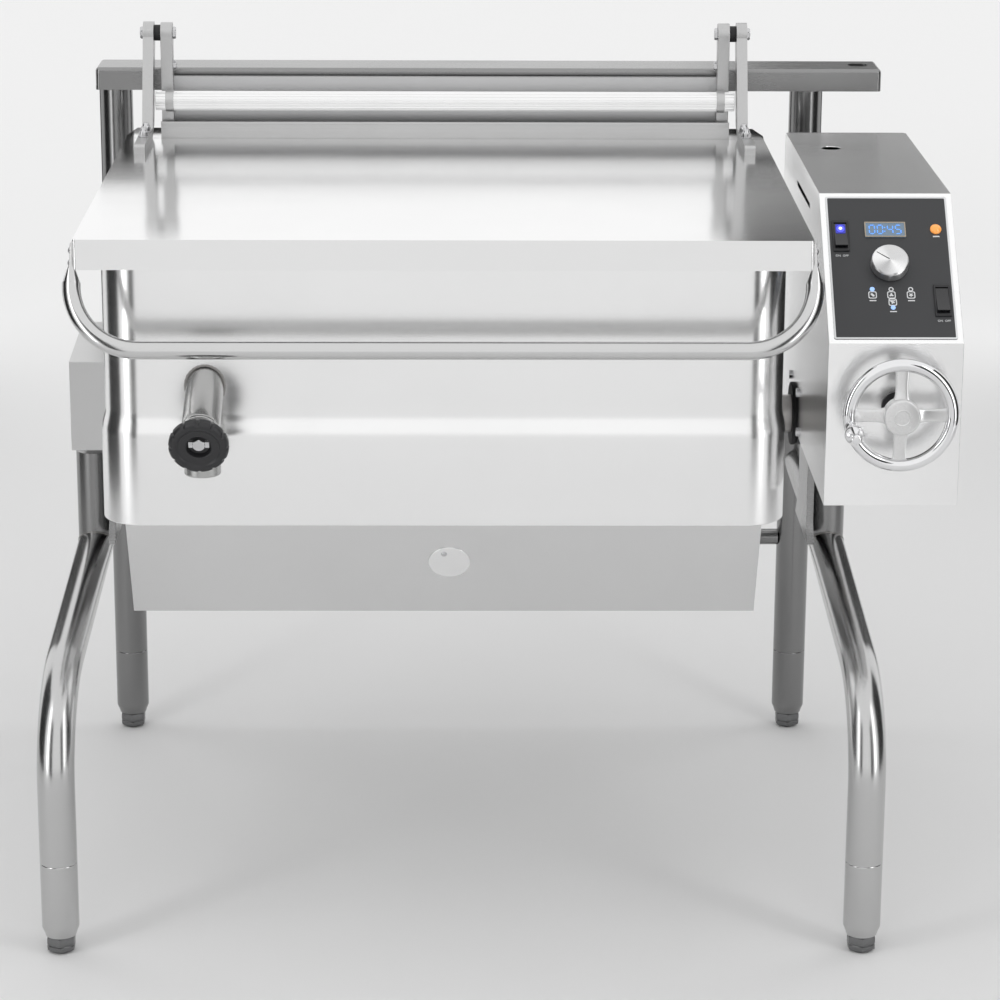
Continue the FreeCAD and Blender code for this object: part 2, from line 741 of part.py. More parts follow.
def handwheel():
    x, z = WHEEL_X, S.wheel_height
    ring = doc.addObject("Part::Torus", "wheel_ring")
    bind(ring, "Radius1", (S.wheel_diameter - S.wheel_rim) / 2)
    bind(ring, "Radius2", S.wheel_rim / 2)
    ring.Placement.Rotation = TURNS["y"]
    for letter, value in zip("xyz", (x, -S.wheel_reach, z)):
        bind(ring, f"Placement.Base.{letter}", value)
    ring.recompute()
    hub_front = S.wheel_reach + 16
    hub = rod("wheel_hub", "y", (x, -hub_front, z), 34, S.wheel_hub)
    hub = rounded("wheel_hub_edge", hub, 3, lambda edge: edge.Curve.TypeId == "Part::GeomCircle")
    reach = (S.wheel_diameter - S.wheel_rim) / 2
    flat = (-S.wheel_reach - S.spoke_thickness / 2, -S.wheel_reach + S.spoke_thickness / 2)
    half = S.spoke_width / 2
    bars = [block("spoke_flat", (x - reach, x + reach), flat, (z - half, z + half)),
            block("spoke_upright", (x - half, x + half), flat, (z - reach, z + reach))]
    bore = rod("wheel_bore", "y", (x, -S.wheel_reach - 8, z), 40, S.shaft_diameter)
    node("handwheel", cut("handwheel", fuse("wheel_form", ring, hub, *bars), bore))

    turn = math.radians(191)
    grip_x, grip_z = x + reach * math.cos(turn), z + reach * math.sin(turn)
    seat = S.wheel_reach + S.wheel_rim / 2
    foot_ring = rod("spindle_foot", "y", (grip_x, -seat - 3, grip_z), 6, 13)
    stem = rod("spindle_stem", "y", (grip_x, -(grip_front - 3), grip_z), grip_front - 3 - S.wheel_reach,
               S.spindle_diameter)
    end = rod("spindle_end", "y", (grip_x, -grip_front, grip_z), 3.5, 13)
    rim = doc.copyObject(ring, False)
    node("crank_spindle", cut("crank_spindle", fuse("spindle_form", foot_ring, stem, end), rim))

    length = S.grip_length
    gap = S.seat_gap
    bore = S.spindle_diameter / 2 + S.running_fit
    grip = lathe("grip_turning", [
        (bore, gap), (6.5, gap), (6.0, 6), (8.0, 14), (11.0, 26), (S.grip_diameter / 2, 38), (11.2, 48),
        (8.4, 56), (6.5, length), (bore, length)])
    set_at(grip, (grip_x, -seat - 3, grip_z), FreeCAD.Rotation(V(1, 0, 0), 90))
    node("crank_grip", group("crank_grip", grip))


def shaft_bearings():
    """Bushings for the wheel's shaft, in the front wall and in two brackets beside the worm."""
    x, z = WHEEL_X, S.wheel_height
    bore = S.shaft_diameter + 2 * S.running_fit
    wall = -S.console_nose
    bushes, brackets = [], []
    flange = rod("front_bush_flange", "y", (x, wall - 3, z), 3, 40)
    barrel = rod("front_bush_barrel", "y", (x, wall - 3, z), 17, S.bushing_diameter)
    hole = rod("front_bush_hole", "y", (x, wall - 6, z), 24, bore)
    bushes.append(cut("front_bush", fuse("front_bush_form", flange, barrel), hole))
    inner_right = S.console_right - S.console_sheet
    for name, start in (("fore", -S.worm_length / 2 - 24), ("aft", S.worm_length / 2 + 16)):
        plate = block(f"bracket_{name}", (x - 25, inner_right), (start, start + 8), (z - 22, z + 26))
        tab = block(f"bracket_tab_{name}", (inner_right - 4, inner_right), (start - 14, start + 22),
                    (z - 22, z + 26))
        hole = rod(f"bracket_hole_{name}", "y", (x, start - 1, z), 10, S.bushing_diameter)
        brackets.append(cut(f"bracket_cut_{name}", fuse(f"bracket_form_{name}", plate, tab), hole))
        bush = rod(f"bush_{name}", "y", (x, start, z), 8, S.bushing_diameter)
        bush_hole = rod(f"bush_hole_{name}", "y", (x, start - 1, z), 10, bore)
        bushes.append(cut(f"bush_cut_{name}", bush, bush_hole))
    node("shaft_bushings", group("shaft_bushings", *bushes))
    node("bushing_brackets", group("bushing_brackets", *brackets))


# Pan: inner well, jacket, insulation, heating elements and the box under them

def ring_wire(width, front, rear, corner, height):
    """A rectangle with round corners, as a wire at one height."""
    half, front, rear, r = width / 2, -front, rear, corner
    z = height
    s = r * (1 - math.sqrt(0.5))
    edges = []
    corners = [(half, front, -1, 1), (half, rear, -1, -1), (-half, rear, 1, -1), (-half, front, 1, 1)]
    ends = []
    for i, (x, y, dx, dy) in enumerate(corners):
        a, b = V(x + dx * r, y, z), V(x, y + dy * r, z)
        if i % 2:
            a, b = b, a
        ends.append((a, V(x + dx * s, y + dy * s, z), b))
    for i, (a, middle, b) in enumerate(ends):
        edges.append(Part.Arc(a, middle, b).toShape())
        edges.append(Part.LineSegment(b, ends[(i + 1) % 4][0]).toShape())
    return Part.Wire(edges)


def jacket_form(inset, bottom, top):
    """The jacket's outside, or a skin parallel to it, between two heights."""
    step = float(S.jacket_step)
    levels = [(bottom, step), (float(S.crease_low), step), (float(S.crease_high), 0.0), (top, 0.0)]
    if bottom > float(S.crease_low):
        levels = [(bottom, 0.0), (top, 0.0)]
    wires = []
    for height, proud in levels:
        grow = proud - inset
        wires.append(ring_wire(float(S.jacket_width) + 2 * grow, float(S.jacket_front) + grow,
                               float(S.jacket_rear) + grow, float(S.jacket_corner) + grow, height))
    return Part.makeLoft(wires, True, True)


def pan():
    rim_top = S.lid_top - S.lid_sheet - S.seat_gap
    sheet, half = S.well_sheet, S.well_width / 2
    plate_low = S.well_floor - S.floor_thickness
    outer = rounded_block("well_outer", (-half - sheet, half + sheet),
                          (-S.well_front - sheet, S.well_rear + sheet), (plate_low, rim_top),
                          S.well_corner + sheet)
    rim_half = S.rim_width / 2
    rim = rounded_block("rim_outer", (-rim_half, rim_half), (-S.rim_front, S.rim_rear),
                        (rim_top - S.rim_lip, rim_top), S.well_corner + 30)
    under = rounded_block("rim_under", (-rim_half + sheet, rim_half - sheet),
                          (-S.rim_front + sheet, S.rim_rear - sheet),
                          (rim_top - S.rim_lip - 1, rim_top - sheet), S.well_corner + 27)
    cavity = rounded_block("well_cavity", (-half, half), (-S.well_front, S.well_rear),
                           (S.well_floor, rim_top + 10), S.well_corner)
    cavity = rounded("well_cavity_floor", cavity, S.well_cove,
                     lambda edge: abs(edge.BoundBox.ZMax - float(S.well_floor)) < 1e-6)
    nipple = rod("well_nipple_hole", "y", (-S.valve_across, -S.well_front - 10, S.valve_height), 20,
                 S.valve_bore + 6)
    shell = fuse("pan_form", outer, cut("rim_ring", rim, under))

    # The thick floor plate lies inside the cove at the foot of the walls, which are welded to it
    cove = S.well_cove
    plate, plate_space = [
        rounded_block(name, (-half + cove, half - cove), (-S.well_front + cove, S.well_rear - cove),
                      (plate_low, S.well_floor), S.well_corner - cove)
        for name in ("floor_plate", "floor_plate_space")]
    node("pan_shell", cut("pan_shell", shell, cavity, nipple, plate_space))
    node("pan_floor", group("pan_floor", plate))

    sheet = float(S.jacket_sheet)
    bottom, top = float(S.jacket_bottom), float(rim_top) - float(S.well_sheet)
    skin = jacket_form(0.0, bottom, top).cut(jacket_form(sheet, bottom - 1, top + 1))
    floor = jacket_form(sheet, bottom, bottom + 130).common(
        Part.makeBox(2000, 2000, sheet, V(-1000, -1000, bottom)))
    window = Part.makeBox(float(S.box_width) - 40, float(S.box_front + S.box_rear) - 60, 20,
                          V(-float(S.box_width) / 2 + 20, -float(S.box_front) + 30, bottom - 5))
    skin = skin.fuse(floor.cut(window))
    for x in (-float(S.jacket_width) / 2 - 20, float(S.jacket_width) / 2 - 20):
        shaft_hole = Part.makeCylinder(float(S.trunnion_bore) / 2, 40, point(x, 0, S.trunnion_height), ACROSS)
        skin = skin.cut(shaft_hole)
    nipple = Part.makeCylinder(float(S.valve_bore + 6) / 2, 60,
                               point(-S.valve_across, -S.jacket_front - 20, S.valve_height), BACK)
    node("pan_jacket", feature("pan_jacket", skin.cut(nipple)))

    gap = 1.0
    low, high = float(S.well_floor), top - 20
    blanket = jacket_form(sheet + gap, low, high)
    grow = float(S.well_sheet) + gap
    core_wire = ring_wire(float(S.well_width) + 2 * grow, float(S.well_front) + grow,
                          float(S.well_rear) + grow, float(S.well_corner) + grow, low - 1)
    core = Part.Face(core_wire).extrude(V(0, 0, high - low + 2))
    node("insulation_blanket", feature("insulation_blanket", blanket.cut(core).cut(nipple)))


def heating():
    """Three hairpin elements clamped under the pan's floor."""
    z = S.well_floor - S.floor_thickness - S.element_diameter / 2
    reach, half = S.well_width / 2 - S.element_inset, 30.0
    row, pitch = (S.well_rear - S.well_front) / 2 + S.element_setback, S.element_pitch
    hairpins = []
    for middle in (row - pitch, row, row + pitch):
        path = [point(reach, middle - half, z), point(-reach, middle - half, z), point(-reach, middle + half, z),
                point(reach, middle + half, z)]
        hairpins.append(swept_tube(path, half - 0.5, S.element_diameter))
    node("heating_elements", feature("heating_elements", Part.makeCompound(hairpins)))
    clamps = []
    low = z - S.element_diameter / 2
    spread = reach * 2 / 3
    for x in (-spread, Size.of(0), spread):
        bar = block("clamp_bar", (x - 12, x + 12), (row - pitch - 50, row + pitch + 50), (low - 5, low))
        studs = [rod("clamp_stud", "z", (x, y, low - 10), S.element_diameter + 10, 8)
                 for y in (row - pitch / 2, row + pitch / 2)]
        clamps.append(fuse("clamp", bar, *studs))
    node("element_clamps", group("element_clamps", *clamps))


def heater_box():
    half, sheet = S.box_width / 2, S.box_sheet
    top, bottom = S.jacket_bottom, S.box_bottom
    form = prism("box_form", "x", (-half, half), [
        (-S.box_front, top), (-S.box_front_foot, bottom), (S.box_rear_foot, bottom), (S.box_rear, top)])
    inner = prism("box_inner", "x", (-half + sheet, half - sheet), [
        (-S.box_front + sheet, top + 1), (-S.box_front_foot + sheet, bottom + sheet),
        (S.box_rear_foot - sheet, bottom + sheet), (S.box_rear - sheet, top + 1)])
    centre, slope = access_place()
    turn = FreeCAD.Rotation(V(1, 0, 0), 90 + math.degrees(slope))
    hole = doc.addObject("Part::Cylinder", "access_hole")
    bind(hole, "Radius", S.access_hole / 2)
    hole.Height = 12
    set_at(hole, centre, turn)
    back = doc.addObject("Part::Cylinder", "access_hole_back")
    bind(back, "Radius", S.access_hole / 2)
    back.Height = 12
    set_at(back, centre, FreeCAD.Rotation(V(1, 0, 0), -90 + math.degrees(slope)))
    node("heater_box", cut("heater_box", form, inner, hole, back))

    # The access cover swings on an off-centre screw
    across, up = -S.access_pivot_across, S.access_pivot_rise
    disc = doc.addObject("Part::Cylinder", "access_disc")
    bind(disc, "Radius", S.access_diameter / 2)
    disc.Height = 2
    bind(disc, "Placement.Base.z", S.seat_gap)
    disc.recompute()
    eye = rod("access_eye", "z", (across, up, 0), 10, 4 + 2 * S.running_fit)
    cover = rounded("access_edge", disc, 0.6, lambda edge: edge.CenterOfMass.z > 1.5
                    and edge.Curve.TypeId == "Part::GeomCircle")
    cover = cut("access_cover", cover, eye)
    cover.Placement.Rotation = turn
    node("access_cover", cover, centre)
    screw = fuse("access_screw", rod("access_screw_shank", "z", (across, up, 0), 2.3 + S.seat_gap, 4),
                 rod("access_screw_head", "z", (across, up, 2.3 + S.seat_gap), 2, 8))
    screws = [set_at(screw, centre, turn)]
    for x in (-1, 1):
        for y in (-S.box_front + 30, S.box_rear - 40):
            spot = (x * (half + 14), y, S.jacket_bottom - 5)
            screws.append(rod("jacket_screw", "z", spot, 5, 11))
    node("box_screws", group("box_screws", *screws))


def access_place():
    """Where the access cover lies on the box's sloping front, and the front's lean."""
    run, fall = S.box_front - S.box_front_foot, S.jacket_bottom - S.box_bottom
    slope = math.atan2(float(run), float(fall))
    share = S.access_drop / (fall / math.cos(slope))
    return (S.access_offset, -S.box_front + run * share, S.jacket_bottom - fall * share), slope


# Draw-off valve on the pan's front

def valve():
    slope = math.radians(float(S.valve_slope))
    axis = V(0, -math.cos(slope), -math.sin(slope))
    origin = point(-S.valve_across, -S.jacket_front, S.valve_height)
    radius, bore = float(S.valve_diameter) / 2, float(S.valve_bore) / 2
    knob_start = float(S.knob_reach)
    body_end = knob_start - 14
    front = float(S.jacket_front)

    barrel = Part.makeCylinder(radius, body_end + 30, origin - axis * 30, axis)
    barrel = barrel.common(Part.makeBox(400, 400, 400, V(origin.x - 200, -front - 400, origin.z - 200)))
    nipple = Part.makeCylinder(bore + 3, front - float(S.well_front), origin, BACK)
    middle = origin + axis * float(S.spout_reach)
    spout_drop = middle.z - float(S.spout_bottom)
    spout = Part.makeCylinder(float(S.spout_diameter) / 2, spout_drop, middle - V(0, 0, spout_drop))
    body = barrel.fuse(nipple).fuse(spout)
    passage = Part.makeCylinder(bore, front - float(S.well_front) + 20, origin - V(0, 12, 0), BACK)
    passage = passage.fuse(Part.makeCylinder(bore, body_end - 12, origin, axis))
    # The spout's bore opens into the barrel and stops just under the stem that crosses it
    stem_radius = float(S.stem_diameter) / 2
    stop = stem_radius / math.cos(slope) + bore * math.tan(slope) + float(S.stem_clearance)
    passage = passage.fuse(Part.makeCylinder(bore, spout_drop + 1 - stop, middle - V(0, 0, spout_drop + 1)))
    gland = Part.makeCylinder(stem_radius + float(S.running_fit), 40, origin + axis * (body_end - 20), axis)
    node("valve_body", feature("valve_body", body.cut(passage).cut(gland)))

    bonnet = Part.makeCylinder(radius + 2, 13, origin + axis * body_end, axis)
    bonnet = bonnet.makeChamfer(2.0, [e for e in bonnet.Edges if e.Curve.TypeId == "Part::GeomCircle"])
    node("valve_bonnet", feature("valve_bonnet", bonnet.cut(gland)))

    stem = Part.makeCylinder(stem_radius, knob_start + 6 - 40, origin + axis * 40, axis)
    stem = stem.fuse(Part.makeCylinder(bore - 0.5, 9, origin + axis * 36, axis))
    nut = Part.makeCylinder(8.5, 6, origin + axis * (knob_start + 6), axis)
    side = V(1, 0, 0)
    tilt = axis.cross(side)
    bar = Part.makeBox(25, 7, 4)
    bar.Placement = FreeCAD.Placement(origin + axis * (knob_start + 6) - side * 12.5 - tilt * 3.5,
                                      FreeCAD.Rotation(side, tilt, side.cross(tilt), "XYZ"))
    stem = stem.fuse(nut).fuse(bar)
    node("valve_stem", feature("valve_stem", stem))

    knob_radius, depth = float(S.knob_diameter) / 2, float(S.knob_depth)
    profile = [V(stem_radius, 0, 0), V(knob_radius - 9, 0, 0), V(knob_radius - 3, 0, 3), V(knob_radius, 0, 7),
               V(knob_radius, 0, depth - 5), V(knob_radius - 3, 0, depth), V(knob_radius - 9, 0, depth),
               V(knob_radius - 11, 0, depth - 3), V(16, 0, depth - 3), V(14.5, 0, 6), V(stem_radius, 0, 6)]
    knob = Part.Face(Part.makePolygon(profile + profile[:1])).revolve(V(0, 0, 0), UP, 360)
    knob = knob.cut(knob_scallops())
    knob.Placement = FreeCAD.Placement(origin + axis * knob_start, FreeCAD.Rotation(V(0, 0, 1), axis))
    node("valve_knob", feature("valve_knob", knob))


def knob_scallops():
    """Scallops round the knob's rim that fingers grip."""
    cuts = []
    reach = float(S.knob_diameter) / 2 + 3.2
    for i in range(12):
        angle = math.radians(30 * i)
        cuts.append(Part.makeCylinder(4.5, 60, V(reach * math.cos(angle), reach * math.sin(angle), -20)))
    return Part.makeCompound(cuts)


# Lid, its handle and the hinge at the pan's back

def lid():
    half, sheet, top = S.lid_width / 2, S.lid_sheet, S.lid_top
    bottom = top - S.lid_skirt
    high = top + S.lip_rise
    form = prism("lid_form", "x", (-half, half), [
        (-S.lid_front, bottom), (-S.lid_front, top), (S.lip_start, top), (S.lid_rear, high), (S.lid_rear, bottom)])
    form = rounded("lid_corners", form, 4, lambda edge: along(UP)(edge) and edge.CenterOfMass.y < 0)
    hollow = prism("lid_hollow", "x", (-half + sheet, half - sheet), [
        (-S.lid_front + sheet, bottom - 5), (-S.lid_front + sheet, top - sheet), (S.lip_start, top - sheet),
        (S.lid_rear - sheet, high - sheet), (S.lid_rear - sheet, top - sheet), (S.lid_rear + 5, top - sheet),
        (S.lid_rear + 5, bottom - 5)])
    trims = []
    for sign in (-1, 1):
        trims.append(prism("lid_trim", "z", (bottom - 5, high + 5), [
            (sign * (half + 1), S.lid_rear - 34), (sign * (half + 1), S.lid_rear + 1),
            (sign * (half - S.lip_corner), S.lid_rear + 1)]))
    node("lid_cover", cut("lid_cover", form, hollow, *trims))

    lean = math.radians(float(S.handle_lean))
    down = V(0, -math.sin(lean), -math.cos(lean))
    side = half + S.ear_thickness / 2
    ear = point(side, -S.lid_front + S.ear_setback, top - S.ear_drop)
    start = ear + down * (float(S.lid_skirt) + 4)
    corner = ear + down * float(S.handle_drop)
    path = [V(side.number, start.y, start.z), V(side.number, corner.y, corner.z),
            V(-side.number, corner.y, corner.z), V(-side.number, start.y, start.z)]
    radius = float(S.handle_diameter) / 2
    shape = swept_tube(path, S.handle_bend, S.handle_diameter)
    for end in (path[0], path[-1]):
        shape = shape.fuse(Part.makeSphere(radius, end))
    thick, wide = float(S.ear_thickness), 24.0
    for sign in (-1, 1):
        tall = float(S.lid_skirt) + 4 + 8
        plate = Part.makeBox(thick, wide, tall, V(0, -wide / 2, -tall + 8))
        crown = [e for e in plate.Edges if along(ACROSS)(e) and e.CenterOfMass.z > 0]
        plate = plate.makeFillet(wide / 2 - 0.01, crown)
        plate.rotate(V(0, 0, 0), ACROSS, -float(S.handle_lean))
        base = float(half) if sign > 0 else -float(half) - thick
        plate.translate(V(base, ear.y, ear.z))
        shape = shape.fuse(plate)
    bolts = []
    for sign in (-1, 1):
        for down_by in (0.0, 17.0):
            spot = ear + down * down_by
            face = float(half) + thick
            base = V(face if sign > 0 else -face - 3, spot.y, spot.z)
            bolts.append(Part.makeCylinder(4.5, 3, base, ACROSS))
    node("lid_handle", feature("lid_handle", shape))
    return feature("handle_bolts", Part.makeCompound(bolts))


def arm_bolt_rows():
    first = S.arm_toe + S.arm_stud_setback
    return first, first + S.arm_stud_pitch


def lid_hinge(handle_bolts):
    y, z = S.hinge_reach, HINGE_Z
    inner, outer = S.arm_inner, S.arm_inner + S.arm_thickness
    foot = S.lid_top + S.arm_foot_height
    blade = prism("arm_blade", "x", (inner, outer), [
        (S.arm_toe, S.lid_top), (S.arm_toe, foot), (S.lip_start + 4, foot), (y - S.arm_eye, z - 4),
        (y + S.arm_eye, z - 4), (S.lip_start + 36, foot + 2), (S.lip_start, S.lid_top)])
    blade = rounded("arm_blade_toe", blade, 5, lambda e: along(ACROSS)(e)
                    and e.CenterOfMass.y < float(S.arm_toe) + 1 and e.CenterOfMass.z > float(foot) - 1)
    eye = rod("arm_eye", "x", (inner, y, z), S.arm_thickness, 2 * S.arm_eye)
    bore = rod("arm_bore", "x", (inner - 1, y, z), S.arm_thickness + 2, S.pin_diameter + 2 * S.running_fit)
    middle = inner + S.arm_thickness / 2
    holes = [rod("arm_bolt_hole", "z", (middle, row, S.lid_top - 5), 40, S.arm_stud) for row in arm_bolt_rows()]
    arm = cut("lid_arm", fuse("lid_arm_form", blade, eye), bore, *holes)
    node("lid_arms", pair("lid_arms", arm))

    # Acorn nuts on studs that are welded to the lid
    nuts = []
    for row in arm_bolt_rows():
        stud = rod("acorn_stud", "z", (middle, row, S.lid_top), S.arm_foot_height + 3, S.arm_stud)
        nut = rod("acorn_nut", "z", (middle, row, foot), 7, 14)
        dome = doc.addObject("Part::Sphere", "acorn_dome")
        dome.Radius = 5.5
        set_at(dome, (middle, row, foot + 7))
        nuts.append(fuse("acorn", stud, nut, dome))
    node("lid_bolts", group("lid_bolts", pair("arm_bolts", group("arm_bolts_right", *nuts)), handle_bolts))

    start, thick = S.bracket_inner, S.bracket_thickness
    front, back = S.rim_rear + 2, S.bracket_back
    slab = prism("bracket_slab", "x", (start, start + thick), [
        (front, S.panel_foot + 5), (back, S.panel_foot + 5), (back, z - 22), (y + 15, z - 4),
        (y - 15, z - 4), (front, z - 30)])
    eye = rod("bracket_eye", "x", (start, y, z), thick, 32)
    bore = rod("bracket_bore", "x", (start - 1, y, z), thick + 2, S.pin_diameter)
    node("hinge_brackets", pair("hinge_brackets", cut("bracket", fuse("bracket_form", slab, eye), bore)))

    gap = S.seat_gap
    spacer = rod("hinge_spacer", "x", (start + thick, y, z), inner - gap - start - thick, 24)
    hole = rod("hinge_spacer_hole", "x", (start, y, z), 60, S.pin_diameter)
    node("hinge_spacers", pair("hinge_spacers", cut("hinge_spacer_cut", spacer, hole)))
    pin = rod("hinge_pin", "x", (start - 5, y, z), outer + gap + 5 - start + 5, S.pin_diameter)
    heads = [rod("pin_head", "x", (x, y, z), 5, 19) for x in (start - 5, outer + gap)]
    bolt = rod("bracket_bolt", "x", (start - 5, y - 3, z - 48), 5, 13)
    node("hinge_pins", pair("hinge_pins", group("hinge_pins_right", fuse("hinge_pin_form", pin, *heads), bolt)))

    half = S.panel_width / 2
    sheet, lip, top = S.panel_sheet, S.panel_flange, z - S.panel_top
    panel = prism("hinge_channel", "x", (-half, half), [
        (S.jacket_rear, S.panel_foot), (back + sheet, S.panel_foot), (back + sheet, top - sheet),
        (back + lip, top - sheet), (back + lip, top), (back, top),
        (back, S.panel_foot + sheet), (S.jacket_rear, S.panel_foot + sheet)])
    node("hinge_panel", panel)


def torsion_tube():
    """A ribbed tube between the arms, clamped to the brackets, round the spring bar."""
    y, z = S.torsion_reach, TORSION_Z
    reach = S.arm_inner - 3
    radius = float(S.torsion_diameter) / 2
    ribs = 18
    corners = []
    for i in range(ribs):
        for share, depth in ((-0.3, 0.9), (-0.18, 0.0), (0.18, 0.0), (0.3, 0.9)):
            angle = 2 * math.pi * (i + share) / ribs
            r = radius - depth
            corners.append(V(0, r * math.cos(angle), r * math.sin(angle)))
    face = Part.Face(Part.makePolygon(corners + corners[:1]))
    face.translate(point(-reach, y, z))
    tube = face.extrude(V(2 * float(reach), 0, 0))
    tube = tube.cut(Part.makeCylinder(radius - 3.5, 2 * float(reach), point(-reach, y, z), ACROSS))
    node("torsion_tube", feature("torsion_tube", tube))
    bar = rod("spring_bar", "x", (-reach, y, z), 2 * reach, 12)
    plugs = [rod("spring_plug", "x", (x, y, z), 8, S.torsion_diameter - 7) for x in (-reach, reach - 8)]
    node("torsion_bar", fuse("torsion_bar", bar, *plugs))
    x = S.bracket_inner - 2
    ring = rod("collar_ring", "x", (x, y, z), 12, S.torsion_diameter + 4)
    lug = block("collar_lug", (x + 2, x + 12), (y, S.rim_rear + 2), (z - 9, z + 9))
    hole = rod("collar_hole", "x", (x - 1, y, z), 14, S.torsion_diameter)
    node("tube_collars", pair("tube_collars", cut("collar", fuse("collar_form", ring, lug), hole)))


# Console: housing, back cover, control panel and what is behind it

def console():
    x = (S.console_left, S.console_right)
    sheet = S.console_sheet
    body = prism("console_form", "x", x, [
        (-S.console_nose, S.console_bottom), (-S.console_nose, S.console_break), (-S.console_brow, S.console_top),
        (S.console_rear, S.console_top), (S.console_rear, S.console_bottom)])
    solid = body.Tip
    rear = [f"Face{i}" for i, face in enumerate(solid.Shape.Faces, start=1)
            if abs(face.CenterOfMass.y - float(S.console_rear)) < 1e-6][0]
    skin = body.newObject("PartDesign::Thickness", "console_skin")
    skin.Base = (solid, [rear])
    bind(skin, "Value", sheet)
    skin.Reversed = True
    skin.Join = 1
    doc.recompute()
    wall = S.console_left
    gear_tip = S.gear_module * (S.gear_teeth / 2 + 1)
    holes = [rod("console_trunnion_hole", "x", (wall - 1, 0, S.trunnion_height), 8, S.trunnion_diameter + 6),
             block("console_floor_window", (wall + sheet, WHEEL_X + S.gear_width), (-82, gear_tip + 4),
                   (S.console_bottom - 2, S.console_bottom + 5)),
             rod("console_shaft_hole", "y", (WHEEL_X, -S.console_nose - 1, S.wheel_height), 8,
                 S.bushing_diameter),
             rod("console_service_hole", "z", (wall + 53, 112, S.console_top - 5), 10, S.service_hole)]
    slot = block("console_slot_box", (wall - 1, wall + 5), (-120, 60), (S.console_top - 44, S.console_top - 36))
    holes.append(rounded("console_slot", slot, 3.5, along(ACROSS)))
    for u, v, wide, tall in rocker_places():
        hole = block("rocker_window", (u - wide / 2 + 1, u + wide / 2 - 1),
                     (v - tall / 2 + 3, v + tall / 2 - 3), (-6, 6))
        holes.append(set_on_panel(group("rocker_window_place", hole)))
    knob_u, knob_v = knob_place()
    knob_hole = rod("knob_hole", "z", (knob_u, knob_v, -6), 12, 6 + 2 * S.running_fit)
    holes.append(set_on_panel(group("knob_hole_place", knob_hole)))
    node("console_housing", cut("console_housing", body, *holes))

    rear_y = S.console_rear
    cover = block("back_cover", x, (rear_y, rear_y + 2), (S.console_bottom, S.console_top))
    cover = rounded("back_cover_corners", cover, 4, along(BACK))
    node("console_back_cover", cover)
    screws = []
    for sx in (x[0] + 12, x[1] - 12):
        for sz in (S.console_bottom + 14, S.console_top - 14):
            screws.append(rod("cover_screw", "y", (sx, rear_y + 2, sz), 2.5, 9))

    bolts = screws
    plate_face = S.right_post - S.tube_diameter / 2 - S.plate_thickness
    for y, z in ((-54, 44), (54, 44), (-67, -10), (67, -10)):
        height = S.trunnion_height + z
        bolts.append(rod("console_spacer", "x", (wall + sheet, y, height), plate_face - wall - sheet, 16))
        bolts.append(rod("console_bolt_head", "x", (wall - 4, y, height), 4, 13))
    node("console_screws", group("console_screws", *bolts))


def panel_turn():
    rise, run = float(S.console_top - S.console_break), float(S.console_nose - S.console_brow)
    return FreeCAD.Rotation(V(1, 0, 0), math.degrees(math.atan2(rise, run)))


def panel_base():
    return (S.console_left + S.console_right) / 2, -S.console_nose, S.console_break


def set_on_panel(obj):
    """Moves a piece drawn flat onto the console's sloping face."""
    return set_at(obj, panel_base(), panel_turn())


def on_panel(label, obj):
    obj.Placement.Rotation = panel_turn()
    node(label, obj, panel_base())


def rocker_places():
    """Middle across, middle up the slope, width and height of each rocker's bezel."""
    return (-64.0, 169.0, 22.0, 50.0), (65.0, 66.0, 22.0, 50.0)


def knob_place():
    return -2.0, 121.0


